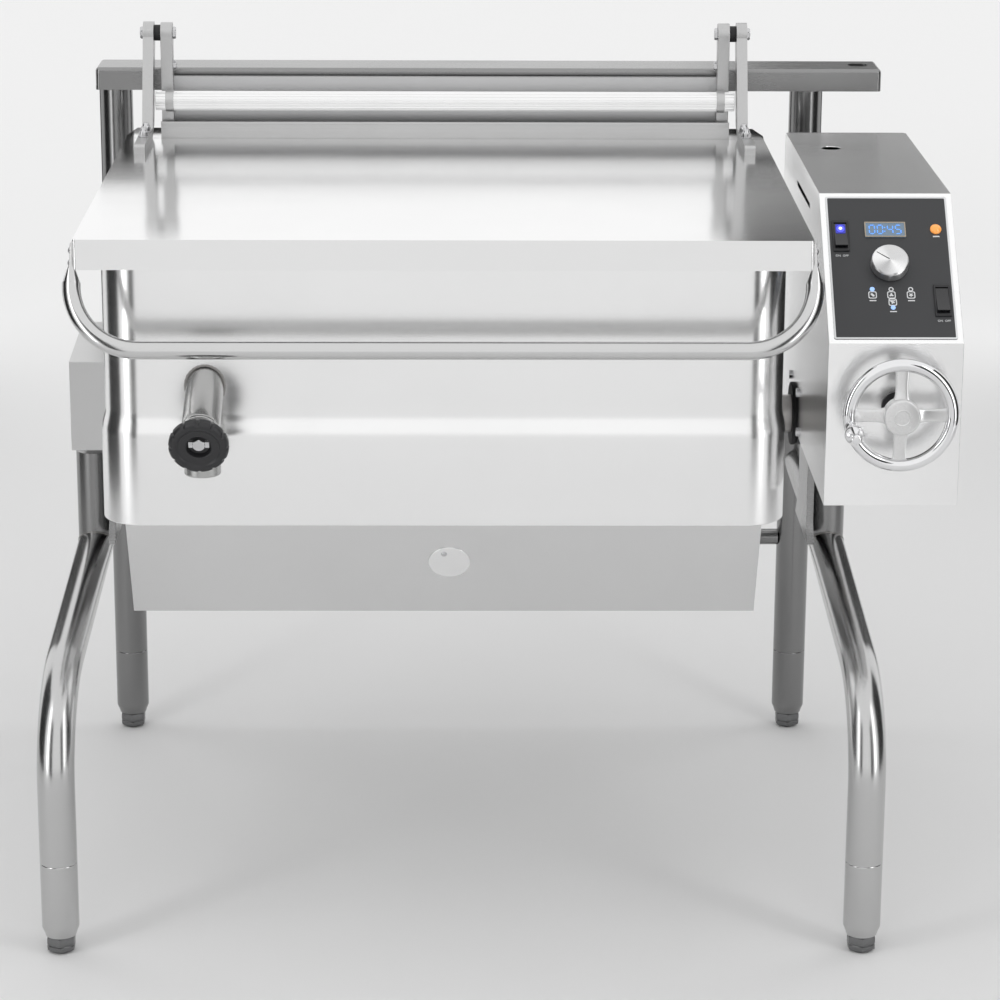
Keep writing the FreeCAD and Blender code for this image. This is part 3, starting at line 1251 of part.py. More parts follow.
def controls():
    run = S.console_nose - S.console_brow
    rise = S.console_top - S.console_break
    slope_length = math.hypot(float(run), float(rise))
    half, film = S.overlay_width / 2, S.overlay_film
    overlay = block("overlay", (-half, half), (S.overlay_margin, slope_length - S.overlay_margin), (0, film))
    overlay = rounded("overlay_corners", overlay, 3, along(UP))
    windows = [block("overlay_window", (u - wide / 2 + 1, u + wide / 2 - 1),
                     (v - tall / 2 + 3, v + tall / 2 - 3), (-1, 3))
               for u, v, wide, tall in rocker_places()]
    knob_u, knob_v = knob_place()
    knob_hole = rod("overlay_knob_hole", "z", (knob_u, knob_v, -1), 3, 8)
    on_panel("control_panel", cut("control_panel", overlay, *windows, knob_hole))

    frames, pivots = [], []
    for name, (u, v, wide, tall) in zip(("power", "heat"), rocker_places()):
        bezel = block("bezel", (u - wide / 2, u + wide / 2), (v - tall / 2, v + tall / 2),
                      (film, film + 2.5))
        bezel = rounded("bezel_edge", bezel, 1.2, lambda e: e.CenterOfMass.z > 3 or along(UP)(e))
        case = block("switch_case", (u - wide / 2 + 1, u + wide / 2 - 1),
                     (v - tall / 2 + 3, v + tall / 2 - 3), (-20, film))
        well = block("switch_well", (u - 8.6, u + 8.6), (v - 20.4, v + 20.4), (-17, 10))
        frames.append(cut("rocker_frame", fuse("rocker_frame_form", bezel, case), well))
        rocker = prism(f"rocker_{name}", "x", (u - 8.3, u + 8.3), [
            (v - 18.8, -6), (v + 18.8, -6), (v + 18.8, 2.2), (v + 1, 3.6), (v - 18.8, 8.2)])
        axle = rod(f"rocker_axle_{name}", "x", (u - 8.6, v, -4), 17.2, 3)
        on_panel(f"{name}_rocker", fuse(f"{name}_rocker_form", rocker, axle))
    on_panel("rocker_frames", group("rocker_frames", *frames))

    window = rounded("display_glass", block("display", (-31.5, 23.5), (167, 191), (film, film + 1.4)),
                     1, along(UP))
    on_panel("display_window", group("display_window", window))
    lamp = lathe("pilot_turning", [(0.001, 0), (7.5, 0), (7.5, 1.6), (6.0, 3.4), (3.2, 4.8), (0.001, 5.2)])
    set_at(lamp, (64, 180, film))
    on_panel("pilot_lamp", group("pilot_lamp", lamp))
    dots = [rod("mode_lamp", "z", (u, v, film), 1, 6.5)
            for u, v in ((-27, 84), (-2, 84), (24, 84), (-1, 55))]
    on_panel("mode_lamps", group("mode_lamps", *dots))

    cap = rod("knob_cap", "z", (knob_u, knob_v, 1.4), 16, 50)
    cap = rounded("knob_cap_edge", cap, 1.6,
                  lambda e: e.CenterOfMass.z > 10 and e.Curve.TypeId == "Part::GeomCircle")
    groove = block("knob_pointer", (knob_u - 0.8, knob_u + 0.8), (knob_v + 4, knob_v + 22), (16.8, 20))
    stem = rod("knob_stem", "z", (knob_u, knob_v, -14), 17, 6)
    on_panel("control_knob", fuse("control_knob", cut("knob_cap_cut", cap, groove), stem))

    board = block("board", (-72, 72), (30, 210), (-27, -25.4))
    stands = [rod("board_stand", "z", (u, v, -25.4), 23.4, 7) for u in (-66, 66) for v in (36, 204)]
    encoder = block("encoder", (knob_u - 8, knob_u + 8), (knob_v - 8, knob_v + 8), (-25.4, -14.3))
    display_can = block("display_can", (-30, 22), (168, 190), (-25.4, -3))
    on_panel("control_board", fuse("control_board", board, encoder, display_can, *stands))

    inner = S.console_right - S.console_sheet
    low = S.console_break + S.contactor_rise
    high = low + S.contactor_height
    boxes = []
    for y in (-20, 60, 140):
        case = block("contactor_case", (inner - 62, inner), (y, y + 56), (low, high))
        top = block("contactor_top", (inner - 74, inner - 62), (y + 8, y + 48), (low + 16, high - 16))
        boxes.append(fuse("contactor", case, top))
    node("contactors", group("contactors", *boxes))


def left_cover():
    low, high = S.left_post - S.tube_diameter / 2 - S.plate_thickness - 4, S.cover_left
    half, sheet = S.cover_half, S.cover_sheet
    form = prism("cover_form", "x", (-high, -low), [
        (-half, S.cover_bottom), (-half, S.cover_top), (half, S.cover_top + S.cover_rise), (half, S.cover_bottom)])
    hollow = prism("cover_hollow", "x", (-high + sheet, -low + 5), [
        (-half + sheet, S.cover_bottom - 5), (-half + sheet, S.cover_top - sheet),
        (half - sheet, S.cover_top + S.cover_rise - sheet), (half - sheet, S.cover_bottom - 5)])
    node("left_cover", cut("left_cover", form, hollow))


stand()
rear_beam()
trunnions()
gear_sector()
worm_shaft()
handwheel()
shaft_bearings()
pan()
heating()
heater_box()
valve()
lid_hinge(lid())
torsion_tube()
console()
controls()
left_cover()
doc.recompute()

# Every object must have been rebuilt, and every piece must be sound, before anything is written
for obj in doc.Objects:
    if "Invalid" in obj.State or "Error" in obj.State:
        raise RuntimeError(f"{obj.Label} was not rebuilt")
for piece in NODES:
    if piece.Shape.isNull() or not piece.Shape.isValid() or not piece.Shape.Solids:
        raise RuntimeError(f"{piece.Label} has no sound shape")

os.makedirs("parts", exist_ok=True)
for piece in NODES:
    piece.Shape.exportStep(f"parts/{piece.Label}.step")
print(len(NODES), "pieces")
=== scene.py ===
"""Looks for a tilting skillet on a tubular stand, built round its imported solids.

Lengths in the classes are in millimetres, counted as the machine is drawn: X from the middle of
the pan, Y from the trunnion axis and Z from the floor. Site.at turns such a point into metres in
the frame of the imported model.
"""
import logging
import math
from dataclasses import dataclass, field
from enum import Enum
from typing import Callable, Iterable, Optional, Sequence

import bpy
import numpy as np
from mathutils import Matrix, Vector

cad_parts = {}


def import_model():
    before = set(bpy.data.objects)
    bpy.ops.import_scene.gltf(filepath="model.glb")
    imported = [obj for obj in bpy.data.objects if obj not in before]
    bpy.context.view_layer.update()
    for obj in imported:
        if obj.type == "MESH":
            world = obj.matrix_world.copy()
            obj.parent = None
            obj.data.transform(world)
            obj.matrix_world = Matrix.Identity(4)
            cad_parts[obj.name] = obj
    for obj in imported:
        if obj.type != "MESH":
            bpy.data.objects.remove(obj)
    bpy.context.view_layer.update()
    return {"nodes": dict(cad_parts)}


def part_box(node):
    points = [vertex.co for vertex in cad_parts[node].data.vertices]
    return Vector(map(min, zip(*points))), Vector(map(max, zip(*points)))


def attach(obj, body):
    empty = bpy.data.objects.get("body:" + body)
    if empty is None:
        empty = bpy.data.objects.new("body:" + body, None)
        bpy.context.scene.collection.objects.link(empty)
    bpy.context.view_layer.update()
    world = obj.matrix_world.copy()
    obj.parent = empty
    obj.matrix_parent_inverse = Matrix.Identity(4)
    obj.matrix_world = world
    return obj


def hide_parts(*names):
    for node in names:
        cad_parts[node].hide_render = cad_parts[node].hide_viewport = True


log = logging.getLogger("tilting_skillet")
MM = 0.001
Array = np.ndarray
Point = Sequence[float]


# Site: where the drawing lies in the frame

class Site:
    """The shift from the drawing's origin to the frame's."""

    shift: Array = np.zeros(3)

    @classmethod
    def survey(cls) -> None:
        """Reads the shift from the rear beam, whose right end and back are known sizes."""
        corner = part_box("rear_beam")[1]
        cls.shift = np.array([corner.x - 667.0 * MM, corner.y - 504.0 * MM, 0.0])

    @classmethod
    def at(cls, points: Iterable) -> Array:
        """Turns drawing points in millimetres into frame points in metres.

        Args:
            points: one point or an array of points, last axis X, Y, Z.

        Returns:
            The same array in metres, shifted.
        """
        return np.asarray(points, float) * MM + cls.shift


# Materials

class Flow(Enum):
    """The coordinates that a finish follows."""

    OBJECT = "Object"
    SURFACE = "UV"


class Graph:
    """A thin hand on a node tree."""

    def __init__(self, tree: bpy.types.NodeTree) -> None:
        """Keeps the tree that nodes are added to."""
        self.tree = tree

    def add(self, kind: str, values: Optional[dict] = None, **settings) -> bpy.types.Node:
        """Adds a node.

        Args:
            kind: the node's type name.
            values: socket name to a plain value, or to the socket that feeds it.
            settings: the node's own properties.

        Returns:
            The new node.
        """
        node = self.tree.nodes.new(kind)
        for key, value in settings.items():
            setattr(node, key, value)
        for key, value in (values or {}).items():
            socket = node.inputs[key]
            if isinstance(value, bpy.types.NodeSocket):
                self.tree.links.new(value, socket)
            else:
                socket.default_value = value
        return node

    def math(self, operation: str, first, second=0.0) -> bpy.types.NodeSocket:
        """Returns the result socket of one Math node."""
        node = self.add("ShaderNodeMath", operation=operation)
        for socket, value in zip(node.inputs, (first, second)):
            if isinstance(value, bpy.types.NodeSocket):
                self.tree.links.new(value, socket)
            else:
                socket.default_value = value
        return node.outputs[0]


def make_group(name: str, inputs: dict, outputs: dict) -> tuple:
    """Starts a shader node group with named sockets.

    Args:
        name: the group's name.
        inputs: socket name to (kind, default).
        outputs: socket name to kind.

    Returns:
        The group, a Graph on it, its input node and its output node.
    """
    group = bpy.data.node_groups.new(name, "ShaderNodeTree")
    for label, (kind, value) in inputs.items():
        socket = group.interface.new_socket(label, in_out="INPUT", socket_type=kind)
        if value is not None:
            socket.default_value = value
    for label, kind in outputs.items():
        group.interface.new_socket(label, in_out="OUTPUT", socket_type=kind)
    graph = Graph(group)
    return group, graph, graph.add("NodeGroupInput"), graph.add("NodeGroupOutput")


class Effects:
    """The effects that several finishes share, each built once."""

    made: dict = {}

    @classmethod
    def get(cls, name: str) -> bpy.types.NodeTree:
        """Returns a shared effect's group, built at its first use."""
        if name not in cls.made:
            cls.made[name] = getattr(cls, "_" + name)()
        return cls.made[name]

    @staticmethod
    def _brushed_lines() -> bpy.types.NodeTree:
        """Fine lines left by an abrasive belt, long one way and narrow the other."""
        group, graph, given, result = make_group(
            "brushed_lines",
            {"Vector": ("NodeSocketVector", None), "Fineness": ("NodeSocketFloat", 900.0),
             "Base": ("NodeSocketFloat", 0.3), "Spread": ("NodeSocketFloat", 0.1)},
            {"Roughness": "NodeSocketFloat", "Height": "NodeSocketFloat"})
        fine = graph.add("ShaderNodeTexNoise", {"Vector": given.outputs["Vector"], "Scale": given.outputs["Fineness"],
                                                "Detail": 3.0, "Roughness": 0.6})
        broad = graph.add("ShaderNodeTexNoise", {
            "Vector": given.outputs["Vector"], "Detail": 2.0,
            "Scale": graph.math("MULTIPLY", given.outputs["Fineness"], 0.12)})
        mixed = graph.math("ADD", graph.math("MULTIPLY", fine.outputs["Fac"], 0.65),
                           graph.math("MULTIPLY", broad.outputs["Fac"], 0.35))
        swing = graph.math("MULTIPLY", graph.math("SUBTRACT", mixed, 0.5), given.outputs["Spread"])
        graph.tree.links.new(graph.math("ADD", swing, given.outputs["Base"]), result.inputs["Roughness"])
        graph.tree.links.new(mixed, result.inputs["Height"])
        return group

    @staticmethod
    def _belt_way() -> bpy.types.NodeTree:
        """Coordinates drawn out along X on most walls, and along Z on the walls that face sideways."""
        group, graph, given, result = make_group(
            "belt_way", {"Vector": ("NodeSocketVector", None)}, {"Vector": "NodeSocketVector"})
        facing = graph.add("ShaderNodeSeparateXYZ", {"Vector": graph.add("ShaderNodeTexCoord").outputs["Normal"]})
        sideways = graph.math("GREATER_THAN", graph.math("ABSOLUTE", facing.outputs["X"]), 0.75)
        level = graph.add("ShaderNodeMapping", {"Vector": given.outputs["Vector"], "Scale": (0.02, 1.0, 1.0)})
        upright = graph.add("ShaderNodeMapping", {"Vector": given.outputs["Vector"], "Scale": (1.0, 1.0, 0.02)})
        pick = graph.add("ShaderNodeMix", data_type="VECTOR")
        graph.tree.links.new(sideways, pick.inputs[0])
        graph.tree.links.new(level.outputs["Vector"], pick.inputs[4])
        graph.tree.links.new(upright.outputs["Vector"], pick.inputs[5])
        graph.tree.links.new(pick.outputs[1], result.inputs["Vector"])
        return group

    @staticmethod
    def _painted_fan_highlights() -> bpy.types.NodeTree:
        """Painted highlight and shade: bright and dark wedges round a turned face that stand in for its reflections,
        0.5 + 0.32 cos(2 a) + 0.18 cos(3 a), a being the angle.
        """
        group, graph, given, result = make_group(
            "painted_fan_highlights",
            {"Vector": ("NodeSocketVector", None), "Winding": ("NodeSocketFloat", 1.0), "Start": ("NodeSocketFloat", 0.0)},
            {"Mask": "NodeSocketFloat"})
        across = graph.add("ShaderNodeSeparateXYZ", {"Vector": given.outputs["Vector"]}).outputs["Y"]
        angle = graph.math("ADD", graph.math("MULTIPLY", across, given.outputs["Winding"]), given.outputs["Start"])
        wide = graph.math("MULTIPLY", graph.math("COSINE", graph.math("MULTIPLY", angle, 2.0)), 0.32)
        narrow = graph.math("MULTIPLY", graph.math("COSINE", graph.math("MULTIPLY", angle, 3.0)), 0.18)
        total = graph.math("ADD", graph.math("ADD", wide, narrow), 0.5)
        graph.tree.links.new(total, result.inputs["Mask"])
        return group

    @staticmethod
    def _handling_marks() -> bpy.types.NodeTree:
        """Soft smudges and wiped patches, a few centimetres across."""
        group, graph, given, result = make_group(
            "handling_marks",
            {"Vector": ("NodeSocketVector", None), "Scale": ("NodeSocketFloat", 7.0), "Amount": ("NodeSocketFloat", 0.3)},
            {"Mask": "NodeSocketFloat"})
        cloud = graph.add("ShaderNodeTexNoise", {"Vector": given.outputs["Vector"], "Scale": given.outputs["Scale"],
                                                 "Detail": 5.0, "Roughness": 0.55, "Distortion": 0.4})
        ramp = graph.add("ShaderNodeMapRange", {"Value": cloud.outputs["Fac"], "From Min": 0.42, "From Max": 0.72})
        graph.tree.links.new(graph.math("MULTIPLY", ramp.outputs["Result"], given.outputs["Amount"]), result.inputs["Mask"])
        return group

    @staticmethod
    def _cast_grain() -> bpy.types.NodeTree:
        """The pitted skin of a casting or a moulding."""
        group, graph, given, result = make_group(
            "cast_grain",
            {"Vector": ("NodeSocketVector", None), "Scale": ("NodeSocketFloat", 600.0)},
            {"Height": "NodeSocketFloat", "Mask": "NodeSocketFloat"})
        lumps = graph.add("ShaderNodeTexNoise", {"Vector": given.outputs["Vector"], "Scale": given.outputs["Scale"],
                                                 "Detail": 4.0, "Roughness": 0.65})
        pits = graph.add("ShaderNodeTexVoronoi", {"Vector": given.outputs["Vector"], "Scale": given.outputs["Scale"]})
        height = graph.math("ADD", graph.math("MULTIPLY", lumps.outputs["Fac"], 0.7),
                            graph.math("MULTIPLY", pits.outputs["Distance"], 0.3))
        graph.tree.links.new(height, result.inputs["Height"])
        graph.tree.links.new(lumps.outputs["Fac"], result.inputs["Mask"])
        return group


@dataclass(frozen=True)
class Finish:
    """What every finish has: a name, a colour, gloss and the material made from them."""

    name: str
    tint: tuple
    roughness: float = 0.35
    metallic: float = 0.0
    flow: Flow = Flow.OBJECT
    stretch: tuple = (1.0, 1.0, 1.0)
    coat: float = 0.0
    specular: float = 0.5

    @property
    def title(self) -> str:
        """The material's name, kept apart from the names that come with the frame's own materials."""
        return f"dressed_{self.name}"

    def start(self) -> tuple:
        """Makes the material.

        Returns:
            The material, its Graph, its Principled BSDF and the socket of its stretched coordinates.
        """
        material = bpy.data.materials.new(self.title)
        material.use_nodes = True
        graph = Graph(material.node_tree)
        shader = graph.tree.nodes["Principled BSDF"]
        shader.inputs["Base Color"].default_value = (*self.tint, 1.0)
        shader.inputs["Roughness"].default_value = self.roughness
        shader.inputs["Metallic"].default_value = self.metallic
        shader.inputs["Coat Weight"].default_value = self.coat
        shader.inputs["Specular IOR Level"].default_value = self.specular
        place = graph.add("ShaderNodeTexCoord").outputs[self.flow.value]
        spread = graph.add("ShaderNodeMapping", {"Vector": place, "Scale": self.stretch})
        return material, graph, shader, spread.outputs["Vector"]

    def effect(self, graph: Graph, name: str, vector: bpy.types.NodeSocket, **values) -> bpy.types.Node:
        """Places a shared effect.

        Args:
            graph: the material's Graph.
            name: the effect's name in Effects.
            vector: the coordinates it reads.
            values: its own plain values.

        Returns:
            The group node.
        """
        node = graph.add("ShaderNodeGroup", node_tree=Effects.get(name))
        graph.tree.links.new(vector, node.inputs["Vector"])
        for key, value in values.items():
            node.inputs[key.capitalize()].default_value = value
        return node

    def toned(self, graph: Graph, shader: bpy.types.Node, mask: bpy.types.NodeSocket, other: tuple) -> None:
        """Mixes the base colour towards another where the mask is bright."""
        mix = graph.add("ShaderNodeMix", data_type="RGBA")
        graph.tree.links.new(mask, mix.inputs[0])
        mix.inputs[6].default_value = (*self.tint, 1.0)
        mix.inputs[7].default_value = (*other, 1.0)
        graph.tree.links.new(mix.outputs[2], shader.inputs["Base Color"])

    def raised(self, graph: Graph, shader: bpy.types.Node, height: bpy.types.NodeSocket, strength: float,
               distance: float = 0.0002) -> None:
        """Feeds a height into the shader's normal through a Bump node."""
        bump = graph.add("ShaderNodeBump", {"Height": height, "Strength": strength, "Distance": distance})
        graph.tree.links.new(bump.outputs["Normal"], shader.inputs["Normal"])

    def make(self) -> bpy.types.Material:
        """Builds a plain moulded finish with a faint skin."""
        material, graph, shader, vector = self.start()
        grain = self.effect(graph, "cast_grain", vector, scale=900.0)
        self.raised(graph, shader, grain.outputs["Height"], 0.12)
        darker = tuple(c * 0.8 for c in self.tint)
        self.toned(graph, shader, grain.outputs["Mask"], darker)
        return material


@dataclass(frozen=True)
class Brushed(Finish):
    """Stainless steel or aluminium with belt lines along one axis."""

    metallic: float = 1.0
    fineness: float = 900.0
    spread: float = 0.10
    depth: float = 0.08
    marks: float = 0.25
    sheet: bool = False
    fan: float = 0.0

    def make(self) -> bpy.types.Material:
        """Builds the lines, the smudges and their shade."""
        material, graph, shader, vector = self.start()
        if self.sheet:
            whole = graph.add("ShaderNodeTexCoord").outputs["Object"]
            vector = self.effect(graph, "belt_way", whole).outputs["Vector"]
        if self.fan:
            shader.inputs["Anisotropic"].default_value = self.fan
            way = graph.add("ShaderNodeTangent", direction_type="UV_MAP", uv_map="surface")
            graph.tree.links.new(way.outputs["Tangent"], shader.inputs["Tangent"])
        lines = self.effect(graph, "brushed_lines", vector, fineness=self.fineness, base=self.roughness,
                            spread=self.spread)
        place = graph.add("ShaderNodeTexCoord").outputs["Object"]
        marks = self.effect(graph, "handling_marks", place, scale=6.0, amount=self.marks)
        rough = graph.math("ADD", lines.outputs["Roughness"],
                           graph.math("MULTIPLY", marks.outputs["Mask"], 0.12))
        graph.tree.links.new(rough, shader.inputs["Roughness"])
        self.toned(graph, shader, marks.outputs["Mask"], tuple(c * 0.92 for c in self.tint))
        self.raised(graph, shader, lines.outputs["Height"], self.depth)
        return material


@dataclass(frozen=True)
class Spun(Brushed):
    """Turned aluminium whose face carries painted highlight and shade: bright and dark wedges put into its colour."""

    winding: float = 55.0
    start_angle: float = 0.6
    # colour of the painted shade wedges
    shade: tuple = (0.52, 0.52, 0.525)

    def make(self) -> bpy.types.Material:
        """Adds the painted highlight and shade wedges to the brushed metal's colour."""
        material = super().make()
        graph = Graph(material.node_tree)
        shader = graph.tree.nodes["Principled BSDF"]
        place = graph.add("ShaderNodeTexCoord").outputs["UV"]
        # painted highlight and shade: fixed wedges in the base colour, which turn with the knob
        bands = self.effect(graph, "painted_fan_highlights", place, winding=self.winding, start=self.start_angle)
        self.toned(graph, shader, bands.outputs["Mask"], self.shade)
        return material


@dataclass(frozen=True)
class Cast(Finish):
    """Cast or tumbled metal."""

    metallic: float = 1.0
    scale: float = 420.0
    depth: float = 0.35

    def make(self) -> bpy.types.Material:
        """Builds the pitted skin with darker hollows."""
        material, graph, shader, vector = self.start()
        grain = self.effect(graph, "cast_grain", vector, scale=self.scale)
        self.raised(graph, shader, grain.outputs["Height"], self.depth, 0.0005)
        self.toned(graph, shader, grain.outputs["Mask"], tuple(c * 0.72 for c in self.tint))
        rough = graph.math("ADD", graph.math("MULTIPLY", grain.outputs["Mask"], 0.18), self.roughness - 0.09)
        graph.tree.links.new(rough, shader.inputs["Roughness"])
        return material


@dataclass(frozen=True)
class Polished(Finish):
    """Plated or polished metal with faint smears."""

    metallic: float = 1.0
    marks: float = 0.5

    def make(self) -> bpy.types.Material:
        """Builds the smears on a bright surface."""
        material, graph, shader, vector = self.start()
        marks = self.effect(graph, "handling_marks", vector, scale=16.0, amount=self.marks)
        rough = graph.math("ADD", graph.math("MULTIPLY", marks.outputs["Mask"], 0.14), self.roughness)
        graph.tree.links.new(rough, shader.inputs["Roughness"])
        self.toned(graph, shader, marks.outputs["Mask"], tuple(c * 0.9 for c in self.tint))
        return material


@dataclass(frozen=True)
class Lit(Finish):
    """A lens or a display that glows."""

    glow: float = 1.0
    coat: float = 0.6

    def make(self) -> bpy.types.Material:
        """Builds the glow, mottled a little as a diffuser is."""
        material, graph, shader, vector = self.start()
        marks = self.effect(graph, "handling_marks", vector, scale=300.0, amount=0.35)
        self.toned(graph, shader, marks.outputs["Mask"], tuple(c * 0.7 for c in self.tint))
        mix = [link.from_socket for link in graph.tree.links if link.to_socket == shader.inputs["Base Color"]][0]
        graph.tree.links.new(mix, shader.inputs["Emission Color"])
        shader.inputs["Emission Strength"].default_value = self.glow
        return material


ALONG_X = (0.02, 1.0, 1.0)
ALONG_U = (0.02, 1.0, 1.0)


class Palette(Enum):
    """The finishes of this machine."""

    LID = Brushed("lid_steel", (0.86, 0.86, 0.86), 0.12, sheet=True, depth=0.05, marks=0.15)
    JACKET = Brushed("jacket_steel", (0.89, 0.89, 0.89), 0.20, stretch=ALONG_X)
    BOX = Brushed("heater_box_steel", (0.78, 0.78, 0.78), 0.34, sheet=True)
    CONSOLE = Brushed("console_steel", (0.95, 0.95, 0.95), 0.24, sheet=True, depth=0.06, marks=0.15)
    # A darker copy of the sheet steel: painted shade on the rear beam, the trunnion plates and the console's back
    # cover.
    SHEET_PAINTED_SHADE = Brushed("sheet_steel_painted_shade", (0.29, 0.29, 0.29), 0.26, sheet=True)
    COVER = Brushed("cover_steel", (0.58, 0.58, 0.58), 0.30, sheet=True)
    CHANNEL = Brushed("channel_steel", (0.58, 0.58, 0.585), 0.36, sheet=True)
    TUBE = Brushed("tube_steel", (0.56, 0.56, 0.56), 0.20, flow=Flow.SURFACE, stretch=ALONG_U)
    # A darker copy of the tube steel: painted shade on the posts, the rails and the rear sockets.
    TUBE_PAINTED_SHADE = Brushed("tube_steel_painted_shade", (0.26, 0.26, 0.26), 0.22, flow=Flow.SURFACE, stretch=ALONG_U)
    HANDLE = Brushed("handle_steel", (0.62, 0.62, 0.62), 0.16, flow=Flow.SURFACE, stretch=ALONG_U, depth=0.05)
    MACHINED = Brushed("machined_steel", (0.40, 0.39, 0.38), 0.32, stretch=(1.0, 0.02, 1.0), depth=0.1)
    WELD = Cast("weld_bead", (0.34, 0.33, 0.32), 0.34, scale=500.0)
    FOOT = Cast("foot_steel", (0.24, 0.242, 0.245), 0.34, scale=500.0, depth=0.12)
    IRON = Cast("bearing_iron", (0.10, 0.10, 0.103), 0.5, metallic=0.6)
    ALLOY = Cast("hinge_alloy", (0.62, 0.62, 0.62), 0.34, scale=800.0, depth=0.05)
    HUB = Cast("wheel_casting", (0.86, 0.86, 0.86), 0.30, scale=520.0, depth=0.12)
    CHROME = Polished("wheel_chrome", (0.80, 0.80, 0.81), 0.06, marks=0.25)
    BOLT = Polished("bolt_steel", (0.60, 0.60, 0.61), 0.16)
    REEDED = Brushed("reeded_tube", (0.92, 0.92, 0.92), 0.28, stretch=ALONG_X)
    VALVE = Brushed("valve_steel", (0.46, 0.46, 0.455), 0.20, stretch=(1.0, 1.0, 1.0), fineness=500.0, depth=0.03)
    BLACK = Finish("black_plastic", (0.018, 0.018, 0.02), 0.38)
    GLOSS = Finish("rocker_plastic", (0.012, 0.012, 0.014), 0.16, coat=0.4)
    RUBBER = Finish("seal_rubber", (0.012, 0.012, 0.013), 0.6)
    FILM = Finish("overlay_film", (0.040, 0.041, 0.044), 0.50)
    INK = Finish("overlay_ink", (0.80, 0.81, 0.82), 0.5)
    BEZEL = Finish("display_bezel", (0.42, 0.36, 0.28), 0.4)
    PANE = Lit("display_pane", (0.13, 0.19, 0.26), 0.16, glow=0.25)
    DIGIT = Lit("display_digit", (0.10, 0.30, 0.85), 0.4, glow=0.75, coat=0.0)
    BLUE = Lit("rocker_light", (0.012, 0.015, 0.30), 0.2, glow=0.8)
    HALO = Lit("rocker_halo", (0.06, 0.07, 0.95), 0.3, glow=1.0)
    CORE = Lit("rocker_core", (0.60, 0.66, 1.0), 0.3, glow=1.3)
    AMBER = Lit("lamp_lens", (0.85, 0.33, 0.07), 0.15, glow=0.45)
    LAMP = Lit("mode_light", (0.30, 0.48, 0.85), 0.3, glow=0.6)
    # the knob's face carries the painted highlight and shade wedges of Spun
    KNOB = Spun("knob_aluminium", (0.95, 0.95, 0.95), 0.28, flow=Flow.SURFACE, stretch=(1.0, 0.02, 1.0), marks=0.1,
                fan=0.85)
    FIBRE = Finish("blanket_fibre", (0.72, 0.67, 0.52), 0.95)
    SHEATH = Brushed("element_sheath", (0.26, 0.22, 0.20), 0.45, sheet=True)
    LAMINATE = Finish("board_laminate", (0.02, 0.14, 0.06), 0.35, coat=0.3)
    CASE = Finish("contactor_case", (0.16, 0.16, 0.165), 0.5)

    @property
    def material(self) -> bpy.types.Material:
        """The finish's material, made at its first use."""
        found = bpy.data.materials.get(self.value.title)
        return found or self.value.make()


# Mesh making

def volume_of(points: Array, faces: list) -> float:
    """Signed volume inside a closed mesh: the sum of its corner pyramids, a . (b x c) / 6."""
    total = 0.0
    for size in {len(face) for face in faces}:
        block = np.array([face for face in faces if len(face) == size])
        first = points[block[:, 0]]
        for k in range(1, size - 1):
            total += np.einsum("ij,ij->", first, np.cross(points[block[:, k]], points[block[:, k + 1]])) / 6.0
    return total


def mesh_object(name: str, points: Array, faces: list, corners: Optional[Array] = None,
                sharp: float = 38.0) -> bpy.types.Object:
    """Puts a mesh in the scene, facing outwards and smooth up to an angle.

    Args:
        name: the piece's name.
        points: vertices in metres.
        faces: vertex numbers of each face.
        corners: texture coordinates of each face corner, in metres along the surface.
        sharp: the angle in degrees past which an edge stays sharp.

    Returns:
        The new object.
    """
    flip = volume_of(points, faces) < 0
    if flip:
        faces = [face[::-1] for face in faces]
    mesh = bpy.data.meshes.new(name)
    mesh.from_pydata(points.tolist(), [], faces)
    layer = mesh.uv_layers.new(name="surface")
    if corners is not None:
        if flip:
            starts = np.cumsum([0] + [len(face) for face in faces])
            order = np.concatenate([np.arange(b - 1, a - 1, -1) for a, b in zip(starts[:-1], starts[1:])])
            corners = corners[order]
        layer.data.foreach_set("uv", corners.astype(np.float32).ravel())
    mesh.shade_smooth()
    mesh.set_sharp_from_angle(angle=math.radians(sharp))
    mesh.validate()
    obj = bpy.data.objects.new(name, mesh)
    bpy.context.scene.collection.objects.link(obj)
    return obj


def surface(name: str, grid: Array, round_u: bool = False, round_v: bool = True, capped: bool = True,
            sharp: float = 38.0) -> bpy.types.Object:
    """A surface over a grid of points P(u, v), with its ends closed by flat faces.

    Args:
        name: the piece's name.
        grid: points of shape (u count, v count, 3), in metres.
        round_u: joins the last row to the first.
        round_v: joins the last column to the first.
        capped: closes the first and last row.
        sharp: the angle in degrees past which an edge stays sharp.

    Returns:
        The new object, with texture coordinates that measure the surface.
    """
    rows, columns = grid.shape[:2]
    step_u = np.linalg.norm(np.roll(grid, -1, 0) - grid, axis=2).mean(1)
    step_v = np.linalg.norm(np.roll(grid, -1, 1) - grid, axis=2).mean(0)
    along_u, along_v = np.concatenate([[0], np.cumsum(step_u)]), np.concatenate([[0], np.cumsum(step_v)])
    i, j = np.meshgrid(np.arange(rows if round_u else rows - 1), np.arange(columns if round_v else columns - 1),
                       indexing="ij")
    i, j = i.ravel(), j.ravel()
    place = [(i, j), (i + 1, j), (i + 1, j + 1), (i, j + 1)]
    quads = np.stack([(a % rows) * columns + b % columns for a, b in place], 1)
    corners = np.stack([np.stack([along_u[a], along_v[b]], 1) for a, b in place], 1).reshape(-1, 2)
    faces = quads.tolist()
    if capped and not round_u:
        ring = np.arange(columns)
        faces += [ring[::-1].tolist(), ((rows - 1) * columns + ring).tolist()]
        for row in (ring[::-1], (rows - 1) * columns + ring):
            flat = grid.reshape(-1, 3)[row]
            side = flat[0] - flat.mean(0)
            side /= max(np.linalg.norm(side), 1e-9)
            normal = np.cross(flat[0] - flat[columns // 3], flat[0] - flat[2 * columns // 3])
            other = np.cross(normal / max(np.linalg.norm(normal), 1e-12), side)
            corners = np.concatenate([corners, np.stack([flat @ side, flat @ other], 1)])
    return mesh_object(name, grid.reshape(-1, 3), faces, corners, sharp)


